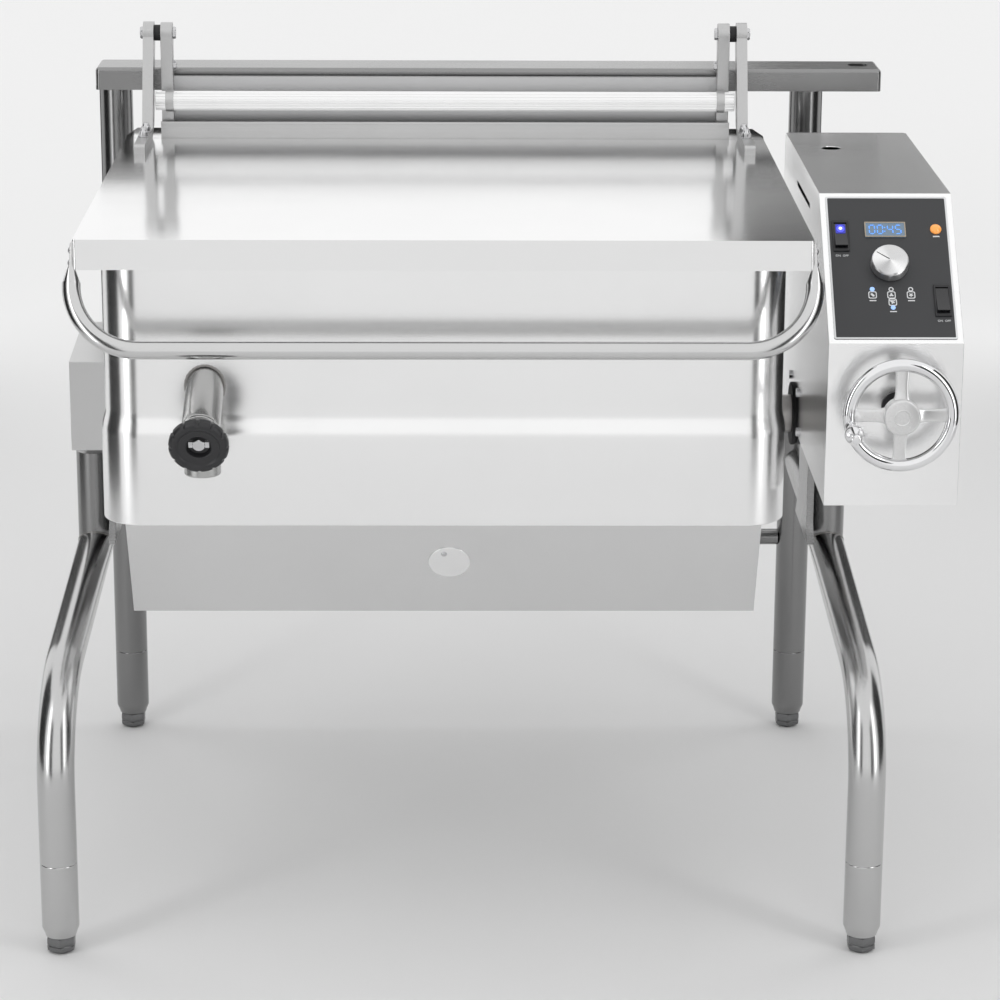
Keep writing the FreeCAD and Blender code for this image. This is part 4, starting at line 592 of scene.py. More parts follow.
def frame_of(axis: Point) -> tuple:
    """Two directions square to an axis and to each other, and the axis itself, as unit arrays."""
    up = np.asarray(axis, float) / np.linalg.norm(axis)
    helper = np.array([0.0, 0.0, 1.0]) if abs(up[2]) < 0.9 else np.array([1.0, 0.0, 0.0])
    side = np.cross(helper, up)
    side /= np.linalg.norm(side)
    return side, np.cross(up, side), up


def turned(name: str, profile: Sequence, base: Point, axis: Point, around: int = 48,
           sharp: float = 38.0) -> bpy.types.Object:
    """A turned piece: P(u, v) = base + r(u) (cos v, sin v) + h(u) along the axis.

    Args:
        name: the piece's name.
        profile: (radius, height) pairs in millimetres.
        base: the drawing point that the heights start from.
        axis: the direction of the heights.
        around: how many columns go round.
        sharp: the angle in degrees past which an edge stays sharp.

    Returns:
        The new object.
    """
    r, h = np.asarray(profile, float).T
    v = np.linspace(0, 2 * np.pi, around, endpoint=False)
    side, other, up = frame_of(axis)
    ring = np.cos(v)[:, None] * side + np.sin(v)[:, None] * other
    points = np.asarray(base, float) + r[:, None, None] * ring[None] + h[:, None, None] * up
    closed = abs(r[0] - r[-1]) < 1e-9 and abs(h[0] - h[-1]) < 1e-9
    if closed:
        points = points[:-1]
    return surface(name, Site.at(points), round_u=closed, capped=not closed, sharp=sharp)


def rounded_profile(points: Sequence, radius: float, steps: int = 4, closed: bool = False) -> Array:
    """A polyline with each inner corner replaced by a small curve, as a quadratic blend of its two sides."""
    given = np.asarray(points, float)
    count = len(given)
    result = [] if closed else [given[:1]]
    for i in range(0 if closed else 1, count if closed else count - 1):
        before, here, after = given[i - 1], given[i], given[(i + 1) % count]
        into, out = here - before, after - here
        cut = min(radius, 0.45 * np.linalg.norm(into), 0.45 * np.linalg.norm(out))
        a = here - into / np.linalg.norm(into) * cut
        b = here + out / np.linalg.norm(out) * cut
        share = np.linspace(0, 1, steps + 1)[:, None]
        result.append((1 - share) ** 2 * a + 2 * share * (1 - share) * here + share ** 2 * b)
    if not closed:
        result.append(given[-1:])
    return np.concatenate(result)


def bent_line(points: Sequence, radius: float, steps: int = 14) -> Array:
    """Straight runs joined by true arcs of one radius, as an array of points in millimetres."""
    given = np.asarray(points, float)
    result = [given[:1]]
    for before, here, after in zip(given[:-2], given[1:-1], given[2:]):
        into, out = here - before, after - here
        into, out = into / np.linalg.norm(into), out / np.linalg.norm(out)
        turn = math.acos(float(np.clip(into @ out, -1, 1)))
        setback = radius * math.tan(turn / 2)
        inward = (out - into) / np.linalg.norm(out - into)
        centre = here + inward * radius / math.cos(turn / 2)
        start = here - into * setback - centre
        square = into * radius
        angle = np.linspace(0, turn, steps)[:, None]
        result.append(centre + start * np.cos(angle) + square * np.sin(angle))
    result.append(given[-1:])
    return np.concatenate(result)


def swept(name: str, path: Array, radius, around: int = 32, flat: float = 1.0, closed: bool = False,
          capped: bool = True) -> bpy.types.Object:
    """A round section carried along a line that lies in one plane.

    P(u, v) = path(u) + r(u) (cos v side(u) + flat sin v normal), where the normal is the plane's.

    Args:
        name: the piece's name.
        path: points in millimetres.
        radius: one radius, or one for each point.
        around: how many columns go round.
        flat: the section's height across the plane, as a share of its width.
        closed: joins the line's end to its start.
        capped: closes the two ends.

    Returns:
        The new object.
    """
    path = np.asarray(path, float)
    if closed:
        tangent = np.roll(path, -1, 0) - np.roll(path, 1, 0)
    else:
        tangent = np.gradient(path, axis=0)
    tangent /= np.linalg.norm(tangent, axis=1)[:, None]
    spread = path - path.mean(0)
    normal = np.linalg.svd(spread, full_matrices=True)[2][2]
    side = np.cross(normal, tangent)
    side /= np.linalg.norm(side, axis=1)[:, None]
    v = np.linspace(0, 2 * np.pi, around, endpoint=False)
    r = np.broadcast_to(np.asarray(radius, float), (len(path),))[:, None, None]
    ring = np.cos(v)[None, :, None] * side[:, None] + flat * np.sin(v)[None, :, None] * normal
    return surface(name, Site.at(path[:, None] + r * ring), round_u=closed, capped=capped and not closed, sharp=50.0)


def pressed(name: str, outline: Sequence, low: float, high: float, axis: str, bevel: float = 0.0) -> bpy.types.Object:
    """A flat outline carried straight along X, Y or Z, with its edges eased by a Bevel.

    Args:
        name: the piece's name.
        outline: (Y, Z), (X, Z) or (X, Y) pairs in millimetres for the axes x, y and z.
        low: where it starts on the axis.
        high: where it ends.
        axis: the axis it is carried along.
        bevel: the width of the eased edges in millimetres.

    Returns:
        The new object.
    """
    pairs = np.asarray(outline, float)
    columns = {"x": (1, 2), "y": (0, 2), "z": (0, 1)}[axis]
    grid = np.zeros((2, len(pairs), 3))
    grid[..., columns[0]] = pairs[:, 0]
    grid[..., columns[1]] = pairs[:, 1]
    grid[0, :, "xyz".index(axis)] = low
    grid[1, :, "xyz".index(axis)] = high
    obj = surface(name, Site.at(grid))
    return eased(obj, bevel) if bevel else obj


def eased(obj: bpy.types.Object, width: float, segments: int = 3, angle: float = 35.0,
          hard: bool = True) -> bpy.types.Object:
    """Adds a Bevel that rounds the sharp edges, width in millimetres."""
    bevel = obj.modifiers.new("eased_edges", "BEVEL")
    bevel.width = width * MM
    bevel.segments = segments
    bevel.limit_method = "ANGLE"
    bevel.angle_limit = math.radians(angle)
    bevel.harden_normals = hard
    return obj


def joined(name: str, parts: Sequence[bpy.types.Object]) -> bpy.types.Object:
    """Makes one piece of several, with their modifiers applied first."""
    depsgraph = bpy.context.evaluated_depsgraph_get()
    meshes = [bpy.data.meshes.new_from_object(part.evaluated_get(depsgraph)) for part in parts]
    for part, mesh in zip(parts, meshes):
        part.modifiers.clear()
        part.data = mesh
    with bpy.context.temp_override(active_object=parts[0], selected_editable_objects=list(parts)):
        bpy.ops.object.join()
    parts[0].name = name
    parts[0].data.name = name
    return parts[0]


def placed_on(obj: bpy.types.Object, origin: Point, side: Point, up: Point) -> bpy.types.Object:
    """Moves a mesh drawn flat about the drawing's origin onto a plane given by two directions."""
    across, rise = Vector(side).normalized(), Vector(up).normalized()
    normal = across.cross(rise)
    turn = Matrix((across, rise, normal)).transposed().to_4x4()
    start = Matrix.Translation(-Vector(Site.at((0.0, 0.0, 0.0))))
    end = Matrix.Translation(Vector(Site.at(origin)))
    obj.data.transform(end @ turn @ start)
    return obj


def smooth_group() -> bpy.types.NodeTree:
    """A geometry node group that smooths a mesh except at its sharp edges."""
    found = bpy.data.node_groups.get("smooth_by_angle")
    if found:
        return found
    group = bpy.data.node_groups.new("smooth_by_angle", "GeometryNodeTree")
    group.interface.new_socket("Geometry", in_out="INPUT", socket_type="NodeSocketGeometry")
    group.interface.new_socket("Geometry", in_out="OUTPUT", socket_type="NodeSocketGeometry")
    graph = Graph(group)
    given, result = graph.add("NodeGroupInput"), graph.add("NodeGroupOutput")
    angle = graph.add("GeometryNodeInputMeshEdgeAngle")
    small = graph.add("FunctionNodeCompare", operation="LESS_THAN", data_type="FLOAT")
    group.links.new(angle.outputs["Unsigned Angle"], small.inputs[0])
    small.inputs[1].default_value = math.radians(32.0)
    faces = graph.add("GeometryNodeSetShadeSmooth", domain="FACE")
    edges = graph.add("GeometryNodeSetShadeSmooth", domain="EDGE")
    group.links.new(given.outputs[0], faces.inputs["Geometry"])
    group.links.new(faces.outputs[0], edges.inputs["Geometry"])
    group.links.new(small.outputs[0], edges.inputs["Shade Smooth"])
    group.links.new(edges.outputs[0], result.inputs[0])
    return group


def settle(obj: bpy.types.Object, paint: Palette, body: str, slot: str, *nodes: str) -> bpy.types.Object:
    """Gives a new piece its finish and its body, and hides the solids it stands for."""
    obj.data.materials.clear()
    obj.data.materials.append(paint.material)
    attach(obj, body)
    if nodes:
        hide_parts(*nodes)
    log.info("%s on %s", obj.name, body)
    return obj


class Kept:
    """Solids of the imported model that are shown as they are, with eased edges and a finish."""

    def __init__(self, nodes: dict) -> None:
        """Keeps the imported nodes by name."""
        self.nodes = nodes

    def dress(self, paint: Palette, bevel: float, *names: str) -> None:
        """Finishes some nodes.

        Args:
            paint: the finish.
            bevel: the width of the eased edges in millimetres, or 0 for none.
            names: the nodes.
        """
        for name in names:
            obj = self.nodes[name]
            weld = obj.modifiers.new("merged", "WELD")
            weld.merge_threshold = 1e-5
            if bevel:
                eased(obj, bevel, 2, 40.0, False)
            smooth = obj.modifiers.new("smooth", "NODES")
            smooth.node_group = smooth_group()
            even = obj.modifiers.new("flat_walls", "WEIGHTED_NORMAL")
            even.keep_sharp = True
            even.weight = 80
            obj.data.materials.clear()
            obj.data.materials.append(paint.material)
            log.info("%s kept", name)


# Stand

@dataclass
class Stand:
    """The tubular stand: bent front legs, posts, rails, sockets, feet, plates and the rear beam."""

    tube: float = 50.8
    left: float = -507.0
    right: float = 556.0
    rear: float = 456.0
    mitre: float = 452.0
    reach: float = 438.0
    splay: float = 16.0
    slope: float = 12.0
    bend: float = 150.0
    socket_top: float = 131.0
    socket_bottom: float = 24.0
    post_top: float = 590.0
    beam_bottom: float = 1044.0
    rail: float = 38.1
    rail_height: float = 452.0
    cross: float = 25.4
    cross_height: float = 320.0
    foot_width: float = 37.0
    foot_spots: dict = field(default_factory=lambda: {
        "front_left": (-523.0, -438.0), "front_right": (572.0, -438.0),
        "rear_left": (-507.0, 456.0), "rear_right": (556.0, 456.0)})

    def build(self, kept: Kept) -> None:
        """Builds every piece of the stand."""
        for side, post in (("left", self.left), ("right", self.right)):
            self.leg(side, post)
        self.posts()
        self.rails()
        self.sockets()
        for name, spot in self.foot_spots.items():
            self.foot(name, spot)
        # the trunnion plates and the rear beam take the darker sheet steel: painted shade
        kept.dress(Palette.SHEET_PAINTED_SHADE, 0.8, "trunnion_plates")
        kept.dress(Palette.SHEET_PAINTED_SHADE, 0.8, "rear_beam")
        kept.dress(Palette.IRON, 1.0, "bearing_housings")
        kept.dress(Palette.RUBBER, 0.5, "trunnion_seal")

    def leg(self, side: str, post: float) -> None:
        """One front leg: a tube from the mitre, down its slope, round its bend and down to the socket."""
        splay = math.copysign(self.splay, post)
        drop = self.reach * math.tan(math.radians(self.slope))
        top = np.array([post, 0.0, self.mitre])
        elbow = np.array([post + splay, -self.reach, self.mitre - drop])
        foot = np.array([post + splay, -self.reach, self.socket_top])
        line = bent_line([top, elbow, foot], self.bend, 40)
        along = (elbow - top) / np.linalg.norm(elbow - top)
        cutting = np.array([0.0, 0.0, -1.0]) + along
        cutting /= np.linalg.norm(cutting)
        leg = swept(f"leg_tube_{side}", line, self.tube / 2, 56)
        self.mitred(leg, top, cutting, along)
        settle(leg, Palette.TUBE, "frame", "tube_steel", f"front_leg_{side}")
        side_way = np.cross(cutting, [1.0, 0.0, 0.0])
        v = np.linspace(0, 2 * np.pi, 96, endpoint=False)[:, None]
        lean = 1.0 / abs(float(along @ cutting))
        radius = self.tube / 2 - 0.2
        ring = top + radius * (np.cos(v) * np.array([1.0, 0, 0]) + lean * np.sin(v) * side_way / np.linalg.norm(side_way))
        width = 1.5 + 0.25 * np.sin(23 * v[:, 0]) + 0.15 * np.sin(41 * v[:, 0] + 1.0)
        bead = swept(f"leg_weld_{side}", ring, width, 10, closed=True)
        settle(bead, Palette.WELD, "frame", "tube_steel")

    def mitred(self, leg: bpy.types.Object, top: Array, cutting: Array, along: Array) -> None:
        """Slides the first ring of a tube along its run until it lies in the cutting plane."""
        around = 56
        points = np.array([v.co for v in leg.data.vertices])
        centre = Site.at(top)
        share = ((centre - points[:around]) @ cutting) / (along @ cutting)
        points[:around] += share[:, None] * along
        leg.data.vertices.foreach_set("co", points.astype(np.float32).ravel())
        leg.data.update()

    def posts(self) -> None:
        """The four posts: the front pair stands on the mitres and the rear pair on the sockets."""
        parts = []
        for post in (self.left, self.right):
            splay = math.copysign(self.splay, post)
            top = np.array([post, 0.0, self.mitre])
            along = np.array([splay, -self.reach, -self.reach * math.tan(math.radians(self.slope))])
            along /= np.linalg.norm(along)
            cutting = np.array([0.0, 0.0, -1.0]) + along
            cutting /= np.linalg.norm(cutting)
            line = np.linspace(top, [post, 0.0, self.post_top], 6)
            tube = swept(f"front_post_{post:.0f}", line, self.tube / 2, 56)
            self.mitred(tube, top, cutting, np.array([0.0, 0.0, 1.0]))
            parts.append(tube)
            profile = [(self.tube / 2, self.socket_top), (self.tube / 2, self.beam_bottom - 0.2)]
            parts.append(turned(f"rear_post_{post:.0f}", profile, (post, self.rear, 0), (0, 0, 1), 56))
        # the posts take the darker tube steel: painted shade
        settle(joined("post_tubes", parts), Palette.TUBE_PAINTED_SHADE, "frame", "tube_steel", "posts")
        welds = []
        for post in (self.left, self.right):
            v = np.linspace(0, 2 * np.pi, 90, endpoint=False)
            ring = np.stack([post + self.tube / 2 * np.cos(v), self.rear + self.tube / 2 * np.sin(v),
                             np.full_like(v, self.beam_bottom - 1.0)], 1)
            welds.append(swept(f"post_bead_{post:.0f}", ring, 1.6 + 0.3 * np.sin(21 * v), 8, closed=True))
        settle(joined("post_welds", welds), Palette.WELD, "frame", "tube_steel")

    def rails(self) -> None:
        """The side rails and the cross tube between the rear posts."""
        half = self.tube / 2 - 1.0
        parts = []
        for post in (self.left, self.right):
            profile = [(self.rail / 2, half), (self.rail / 2, self.rear - half)]
            parts.append(turned(f"rail_{post:.0f}", profile, (post, 0, self.rail_height), (0, 1, 0), 40))
        profile = [(self.cross / 2, half), (self.cross / 2, self.right - self.left - half)]
        parts.append(turned("cross_tube", profile, (self.left, self.rear, self.cross_height), (1, 0, 0), 32))
        # the rails take the darker tube steel: painted shade
        settle(joined("stand_rails", parts), Palette.TUBE_PAINTED_SHADE, "frame", "tube_steel", "frame_rails")

    def sockets(self) -> None:
        """The foot sockets, with the fine groove where each meets its tube and a tapered lower end."""
        r, low, high = self.tube / 2, self.socket_bottom, self.socket_top
        profile = rounded_profile([(9.0, low), (r - 4.6, low), (r - 3.6, low + 4), (r, low + 13), (r, high - 1.2),
                                   (r - 0.9, high), (9.0, high)], 1.2)
        rows = {True: [], False: []}
        for name, (x, y) in self.foot_spots.items():
            rows[y < 0].append(turned(f"socket_{name}", profile, (x, y, 0), (0, 0, 1), 56))
        settle(joined("front_sockets", rows[True]), Palette.TUBE, "frame", "tube_steel", "leg_sockets")
        # the rear sockets take the darker tube steel, painted shade; the front ones keep the lighter tube steel
        settle(joined("rear_sockets", rows[False]), Palette.TUBE_PAINTED_SHADE, "frame", "tube_steel")

    def foot(self, name: str, spot: tuple) -> None:
        """A hexagonal levelling foot with a groove, a domed sole and its stud."""
        x, y = spot
        half, top = self.foot_width / 2, self.socket_bottom - 0.3
        v = np.linspace(0, 2 * np.pi, 48, endpoint=False)
        hexagon = 1.0 / np.cos((v + np.pi / 6) % (np.pi / 3) - np.pi / 6)
        heights = np.array([0.0, 0.6, 2.5, 5.0, 10.0, 11.0, 12.2, 13.2, 19.0, top - 1.0, top])
        size = np.array([0.66, 0.76, 0.9, 0.985, 1.0, 0.95, 0.95, 1.0, 1.0, 0.97, 0.9])
        square = np.array([0.0, 0.1, 0.35, 0.8, 1.0, 0.6, 0.6, 1.0, 1.0, 0.9, 0.6])
        r = half * size[:, None] * (1 + square[:, None] * (hexagon[None] - 1))
        r = np.minimum(r, half * 1.12)
        grid = np.stack([x + r * np.cos(v), y + r * np.sin(v), np.broadcast_to(heights[:, None], r.shape)], 2)
        body = surface(f"foot_hex_{name}", Site.at(grid), sharp=28.0)
        stud = turned(f"foot_stud_{name}", [(8.0, top - 1), (8.0, 72.0), (7.0, 74.0)], (x, y, 0), (0, 0, 1), 24)
        settle(joined(f"level_foot_{name}", [body, stud]), Palette.FOOT, f"foot_{name}", "foot_steel", f"foot_{name}")


# Pan

@dataclass
class Pan:
    """The jacketed pan with the heater box under it."""

    width: float = 903.0
    front: float = 398.0
    rear: float = 366.0
    corner: float = 52.0
    step: float = 5.0
    bottom: float = 595.0
    crease_low: float = 722.0
    crease_high: float = 742.0
    top: float = 981.6
    sheet: float = 2.0
    box_lean: float = 83.0
    box_height: float = 151.0
    cover_drop: float = 74.0

    def build(self, kept: Kept) -> None:
        """Builds the pan's pieces."""
        self.jacket()
        self.screws()
        kept.dress(Palette.LID, 0.7, "pan_shell", "pan_floor")
        kept.dress(Palette.BOX, 0.6, "heater_box")
        kept.dress(Palette.CONSOLE, 0.4, "access_cover")
        kept.dress(Palette.FIBRE, 0.0, "insulation_blanket")
        kept.dress(Palette.SHEATH, 0.0, "heating_elements")
        kept.dress(Palette.MACHINED, 0.6, "element_clamps", "trunnion_shaft_left", "trunnion_shaft_right")
        kept.dress(Palette.MACHINED, 0.3, "gear_sector")

    def outline(self, grow: Array, around: int = 28) -> Array:
        """Rounded rectangles, one for each value of grow: straight sides joined by quarter circles.

        Args:
            grow: how far each ring lies outside the upper jacket, in millimetres.
            around: how many points each corner has.

        Returns:
            Points of shape (rings, columns, 2), counter-clockwise seen from above.
        """
        angle = np.linspace(0, np.pi / 2, around)
        rings = []
        for quarter, (sx, sy) in enumerate(((1, 1), (-1, 1), (-1, -1), (1, -1))):
            half = self.width / 2
            depth = self.rear if sy > 0 else self.front
            turn = angle + quarter * np.pi / 2
            r = np.maximum(self.corner + grow, 1.0)[:, None]
            centre_x, centre_y = sx * (half - self.corner), sy * (depth - self.corner)
            rings.append(np.stack([centre_x + r * np.cos(turn), centre_y + r * np.sin(turn)], 2))
            following = ((-1, 1), (-1, -1), (1, -1), (1, 1))[quarter]
            end, start = rings[-1][:, -1], None
            next_depth = self.rear if following[1] > 0 else self.front
            next_turn = (quarter + 1) * np.pi / 2
            start = np.stack([following[0] * (half - self.corner) + r[:, 0] * np.cos(next_turn),
                              following[1] * (next_depth - self.corner) + r[:, 0] * np.sin(next_turn)], 1)
            share = np.linspace(0, 1, 26)[1:-1][None, :, None]
            rings.append(end[:, None] * (1 - share) + start[:, None] * share)
        return np.concatenate(rings, 1)

    def jacket(self) -> None:
        """The jacket's skin: the rounded rectangle carried down a profile with its crease and its bottom lip."""
        outer = rounded_profile([
            (0.0, self.top), (0.0, self.crease_high), (self.step, self.crease_low), (self.step, self.bottom + 1.0),
            (self.step - 2.0, self.bottom), (-26.0, self.bottom)], 7.0, 6)
        extra = np.linspace(0.04, 0.96, 12)
        upper = np.stack([np.zeros(12), self.top + (self.crease_high + 8 - self.top) * extra], 1)
        outer = np.concatenate([outer[:1], upper, outer[1:]])
        inner = np.array([(-26.0, self.bottom + self.sheet), (self.step - self.sheet, self.bottom + self.sheet),
                          (self.step - self.sheet, self.crease_low), (-self.sheet, self.crease_high), (-self.sheet, self.top)])
        profile = np.concatenate([outer, inner])
        flat = self.outline(profile[:, 0])
        heights = np.broadcast_to(profile[:, 1][:, None, None], flat.shape[:2] + (1,))
        skin = surface("jacket_skin", Site.at(np.concatenate([flat, heights], 2)), round_u=True, capped=False, sharp=60.0)
        settle(skin, Palette.JACKET, "pan", "sheet_steel", "pan_jacket")

    def screws(self) -> None:
        """Hexagonal screws in the jacket's bottom lip and the pivot screw of the access cover."""
        parts = []
        for x in (-439.0, 439.0):
            for y in (-356.0, 296.0):
                parts.append(hex_head(f"lip_screw_{len(parts)}", (x, y, self.bottom), (0, 0, -1), 5.0, 10.0))
        lean = math.atan2(self.box_lean, self.box_height)
        up, out = np.array([0.0, -math.sin(lean), math.cos(lean)]), np.array([0.0, -math.cos(lean), -math.sin(lean)])
        share = self.cover_drop * math.cos(lean) / self.box_height
        centre = np.array([7.0, -386.0 + self.box_lean * share, self.bottom - self.box_height * share])
        pivot = centre + [-7.0, 0.0, 0.0] + 16.0 * up
        button = rounded_profile([(2.0, -0.5), (2.0, 2.3), (4.0, 2.35), (3.6, 3.4), (2.2, 4.2), (0.4, 4.3)], 0.6)
        parts.append(turned("cover_pivot", button, pivot, out, 28))
        settle(joined("lip_screws", parts), Palette.BOLT, "pan", "bolt_steel", "box_screws")


def hex_head(name: str, base: Point, axis: Point, height: float, flats: float, washer: float = 0.0) -> bpy.types.Object:
    """A hexagonal bolt head: r = flats / 2 / cos(v folded into a sixth), with a turned chamfer on top.

    Args:
        name: the piece's name.
        base: the drawing point under the head.
        axis: the direction the head points.
        height: its height in millimetres.
        flats: its width across flats.
        washer: the radius of a washer under it, or 0 for none.

    Returns:
        The new object.
    """
    v = np.linspace(0, 2 * np.pi, 48, endpoint=False)
    hexagon = flats / 2 / np.cos((v + np.pi / 6) % (np.pi / 3) - np.pi / 6)
    lift = 1.2 if washer else 0.0
    h = np.array([lift, height * 0.72 + lift, height * 0.9 + lift, height + lift])
    limit = np.array([1.0, 1.0, 0.93, 0.84]) * flats / 2 * 1.155
    r = np.minimum(hexagon[None], limit[:, None])
    side, other, up = frame_of(axis)
    ring = np.cos(v)[:, None] * side + np.sin(v)[:, None] * other
    head = surface(name, Site.at(np.asarray(base, float) + r[..., None] * ring[None] + h[:, None, None] * up), sharp=25.0)
    if not washer:
        return head
    plate = turned(name + "_washer", [(washer - 0.3, 0), (washer, 0.3), (washer, 0.9), (washer - 0.3, 1.2)], base, axis, 32)
    return joined(name, [head, plate])


# Draw-off valve

@dataclass
class Valve:
    """The draw-off valve: its sloping body, the spout, the bonnet, the stem and the scalloped knob."""

    across: float = -314.0
    wall: float = -398.0
    height: float = 786.0
    slope: float = 20.0
    radius: float = 25.0
    bore: float = 20.0
    spout: float = 24.0
    spout_bottom: float = 686.0
    spout_reach: float = 73.0
    knob_reach: float = 124.0
    knob: float = 39.0
    depth: float = 20.0

    @property
    def axis(self) -> Array:
        """The direction in which the knob points."""
        angle = math.radians(self.slope)
        return np.array([0.0, -math.cos(angle), -math.sin(angle)])

    @property
    def origin(self) -> Array:
        """Where the valve's axis meets the jacket."""
        return np.array([self.across, self.wall, self.height])

    def build(self, kept: Kept) -> None:
        """Builds the valve's pieces."""
        self.body()
        self.bonnet()
        self.stem()
        self.handle()

    def body(self) -> None:
        """The barrel with its weld at the jacket, the collar rings and the open spout."""
        a, r, end = self.axis, self.radius, self.knob_reach - 14.0
        profile = rounded_profile([(2.0, -6.0), (r, -6.0), (r, 56.0), (r + 0.01, 84.0), (r, end - 9.0), (r - 2.5, end - 8.0),
                                   (r - 2.5, end), (8.0, end)], 1.0)
        barrel = turned("valve_barrel", profile, self.origin, a, 64)
        middle = self.origin + a * self.spout_reach
        s, drop = self.spout, middle[2] - self.spout_bottom
        wall = 3.6
        tube = rounded_profile([(s - 4.0, 12.0), (s - 4.0, 6.0), (s, 0.0), (s, -drop + 1.5), (s - 1.0, -drop), (s - wall + 1.0, -drop),
                                (s - wall, -drop + 1.5), (s - wall, -26.0), (1.0, -24.0)], 1.4)
        pipe = turned("valve_spout", tube, middle, (0, 0, 1), 56)
        settle(joined("valve_pipe", [barrel, pipe]), Palette.VALVE, "pan", "valve_steel", "valve_body")
        v = np.linspace(0, 2 * np.pi, 96, endpoint=False)
        lean = 1.0 / math.cos(math.radians(self.slope))
        ring = np.stack([self.across + (r + 0.6) * np.cos(v), np.full_like(v, self.wall - 0.6),
                         self.height + lean * (r + 0.6) * np.sin(v)], 1)
        bead = swept("valve_weld", ring, 2.0 + 0.35 * np.sin(27 * v) + 0.2 * np.sin(44 * v), 10, closed=True)
        settle(bead, Palette.WELD, "pan", "valve_steel")

    def bonnet(self) -> None:
        """The dark threaded bonnet between the body and the knob."""
        r, start = self.radius + 2.0, self.knob_reach - 14.0
        profile = rounded_profile([(8.0, 0.0), (r - 2.0, 0.0), (r, 2.0), (r, 5.0), (r - 1.6, 6.0), (r - 1.6, 7.4), (r, 8.4),
                                   (r, 10.8), (r - 2.0, 12.7), (8.0, 12.7)], 0.7)
        ring = turned("valve_ring", profile, self.origin + self.axis * start, self.axis, 56)
        settle(ring, Palette.FOOT, "pan", "foot_steel", "valve_bonnet")

    def stem(self) -> None:
        """The stem with its hexagonal nut and the small cross bar in the knob's eye."""
        a = self.axis
        base = self.origin + a * (self.knob_reach - 24.0)
        rod = turned("stem_rod", [(7.0, 0.0), (7.0, 29.0), (6.4, 30.0), (2.0, 30.2)], base, a, 32)
        face = self.origin + a * (self.knob_reach + 6.0)
        nut = hex_head("stem_nut", face, a, 6.0, 16.0)
        side = np.array([1.0, 0.0, 0.0])
        other = np.cross(a, side)
        grid = np.array([[-12.5, -3.5, 0.4], [12.5, -3.5, 0.4], [12.5, 3.5, 0.4], [-12.5, 3.5, 0.4]])
        low = face + grid[:, :1] * side + grid[:, 1:2] * other + grid[:, 2:] * a
        bar = eased(surface("stem_bar", Site.at(np.stack([low, low + 3.6 * a]))), 0.8)
        settle(joined("knob_stem", [rod, nut, bar]), Palette.BOLT, "valve_knob", "bolt_steel", "valve_stem")

    def handle(self) -> None:
        """The black knob: a turned section whose rim radius dips at twelve finger scallops."""
        k, d = self.knob, self.depth
        profile = rounded_profile([(8.2, 5.9), (8.2, 0.2), (k - 10, 0.2), (k - 3.2, 3.0), (k, 7.0), (k, d - 5.5), (k - 3.2, d - 0.6),
                                   (k - 7.5, d), (k - 10.5, d - 1.0), (k - 12.5, d - 3.2), (18.0, d - 3.6), (16.2, d - 4.6),
                                   (15.0, 6.4), (8.2, 5.9)], 1.6, 5)
        r, h = profile[:-1].T
        v = np.linspace(0, 2 * np.pi, 240, endpoint=False)
        dip = np.clip((np.cos(12 * v) - 0.62) / 0.38, 0, 1) ** 0.8
        share = np.clip((r - (k - 9.0)) / 9.0, 0, 1)
        radius = r[:, None] - 2.2 * share[:, None] * dip[None]
        side, other, up = frame_of(self.axis)
        ring = np.cos(v)[:, None] * side + np.sin(v)[:, None] * other
        base = self.origin + self.axis * self.knob_reach
        grid = base + radius[..., None] * ring[None] + h[:, None, None] * up
        wheel = surface("valve_handle", Site.at(grid), round_u=True, capped=False, sharp=50.0)
        settle(wheel, Palette.BLACK, "valve_knob", "black_plastic", "valve_knob")


# Lid and hinge

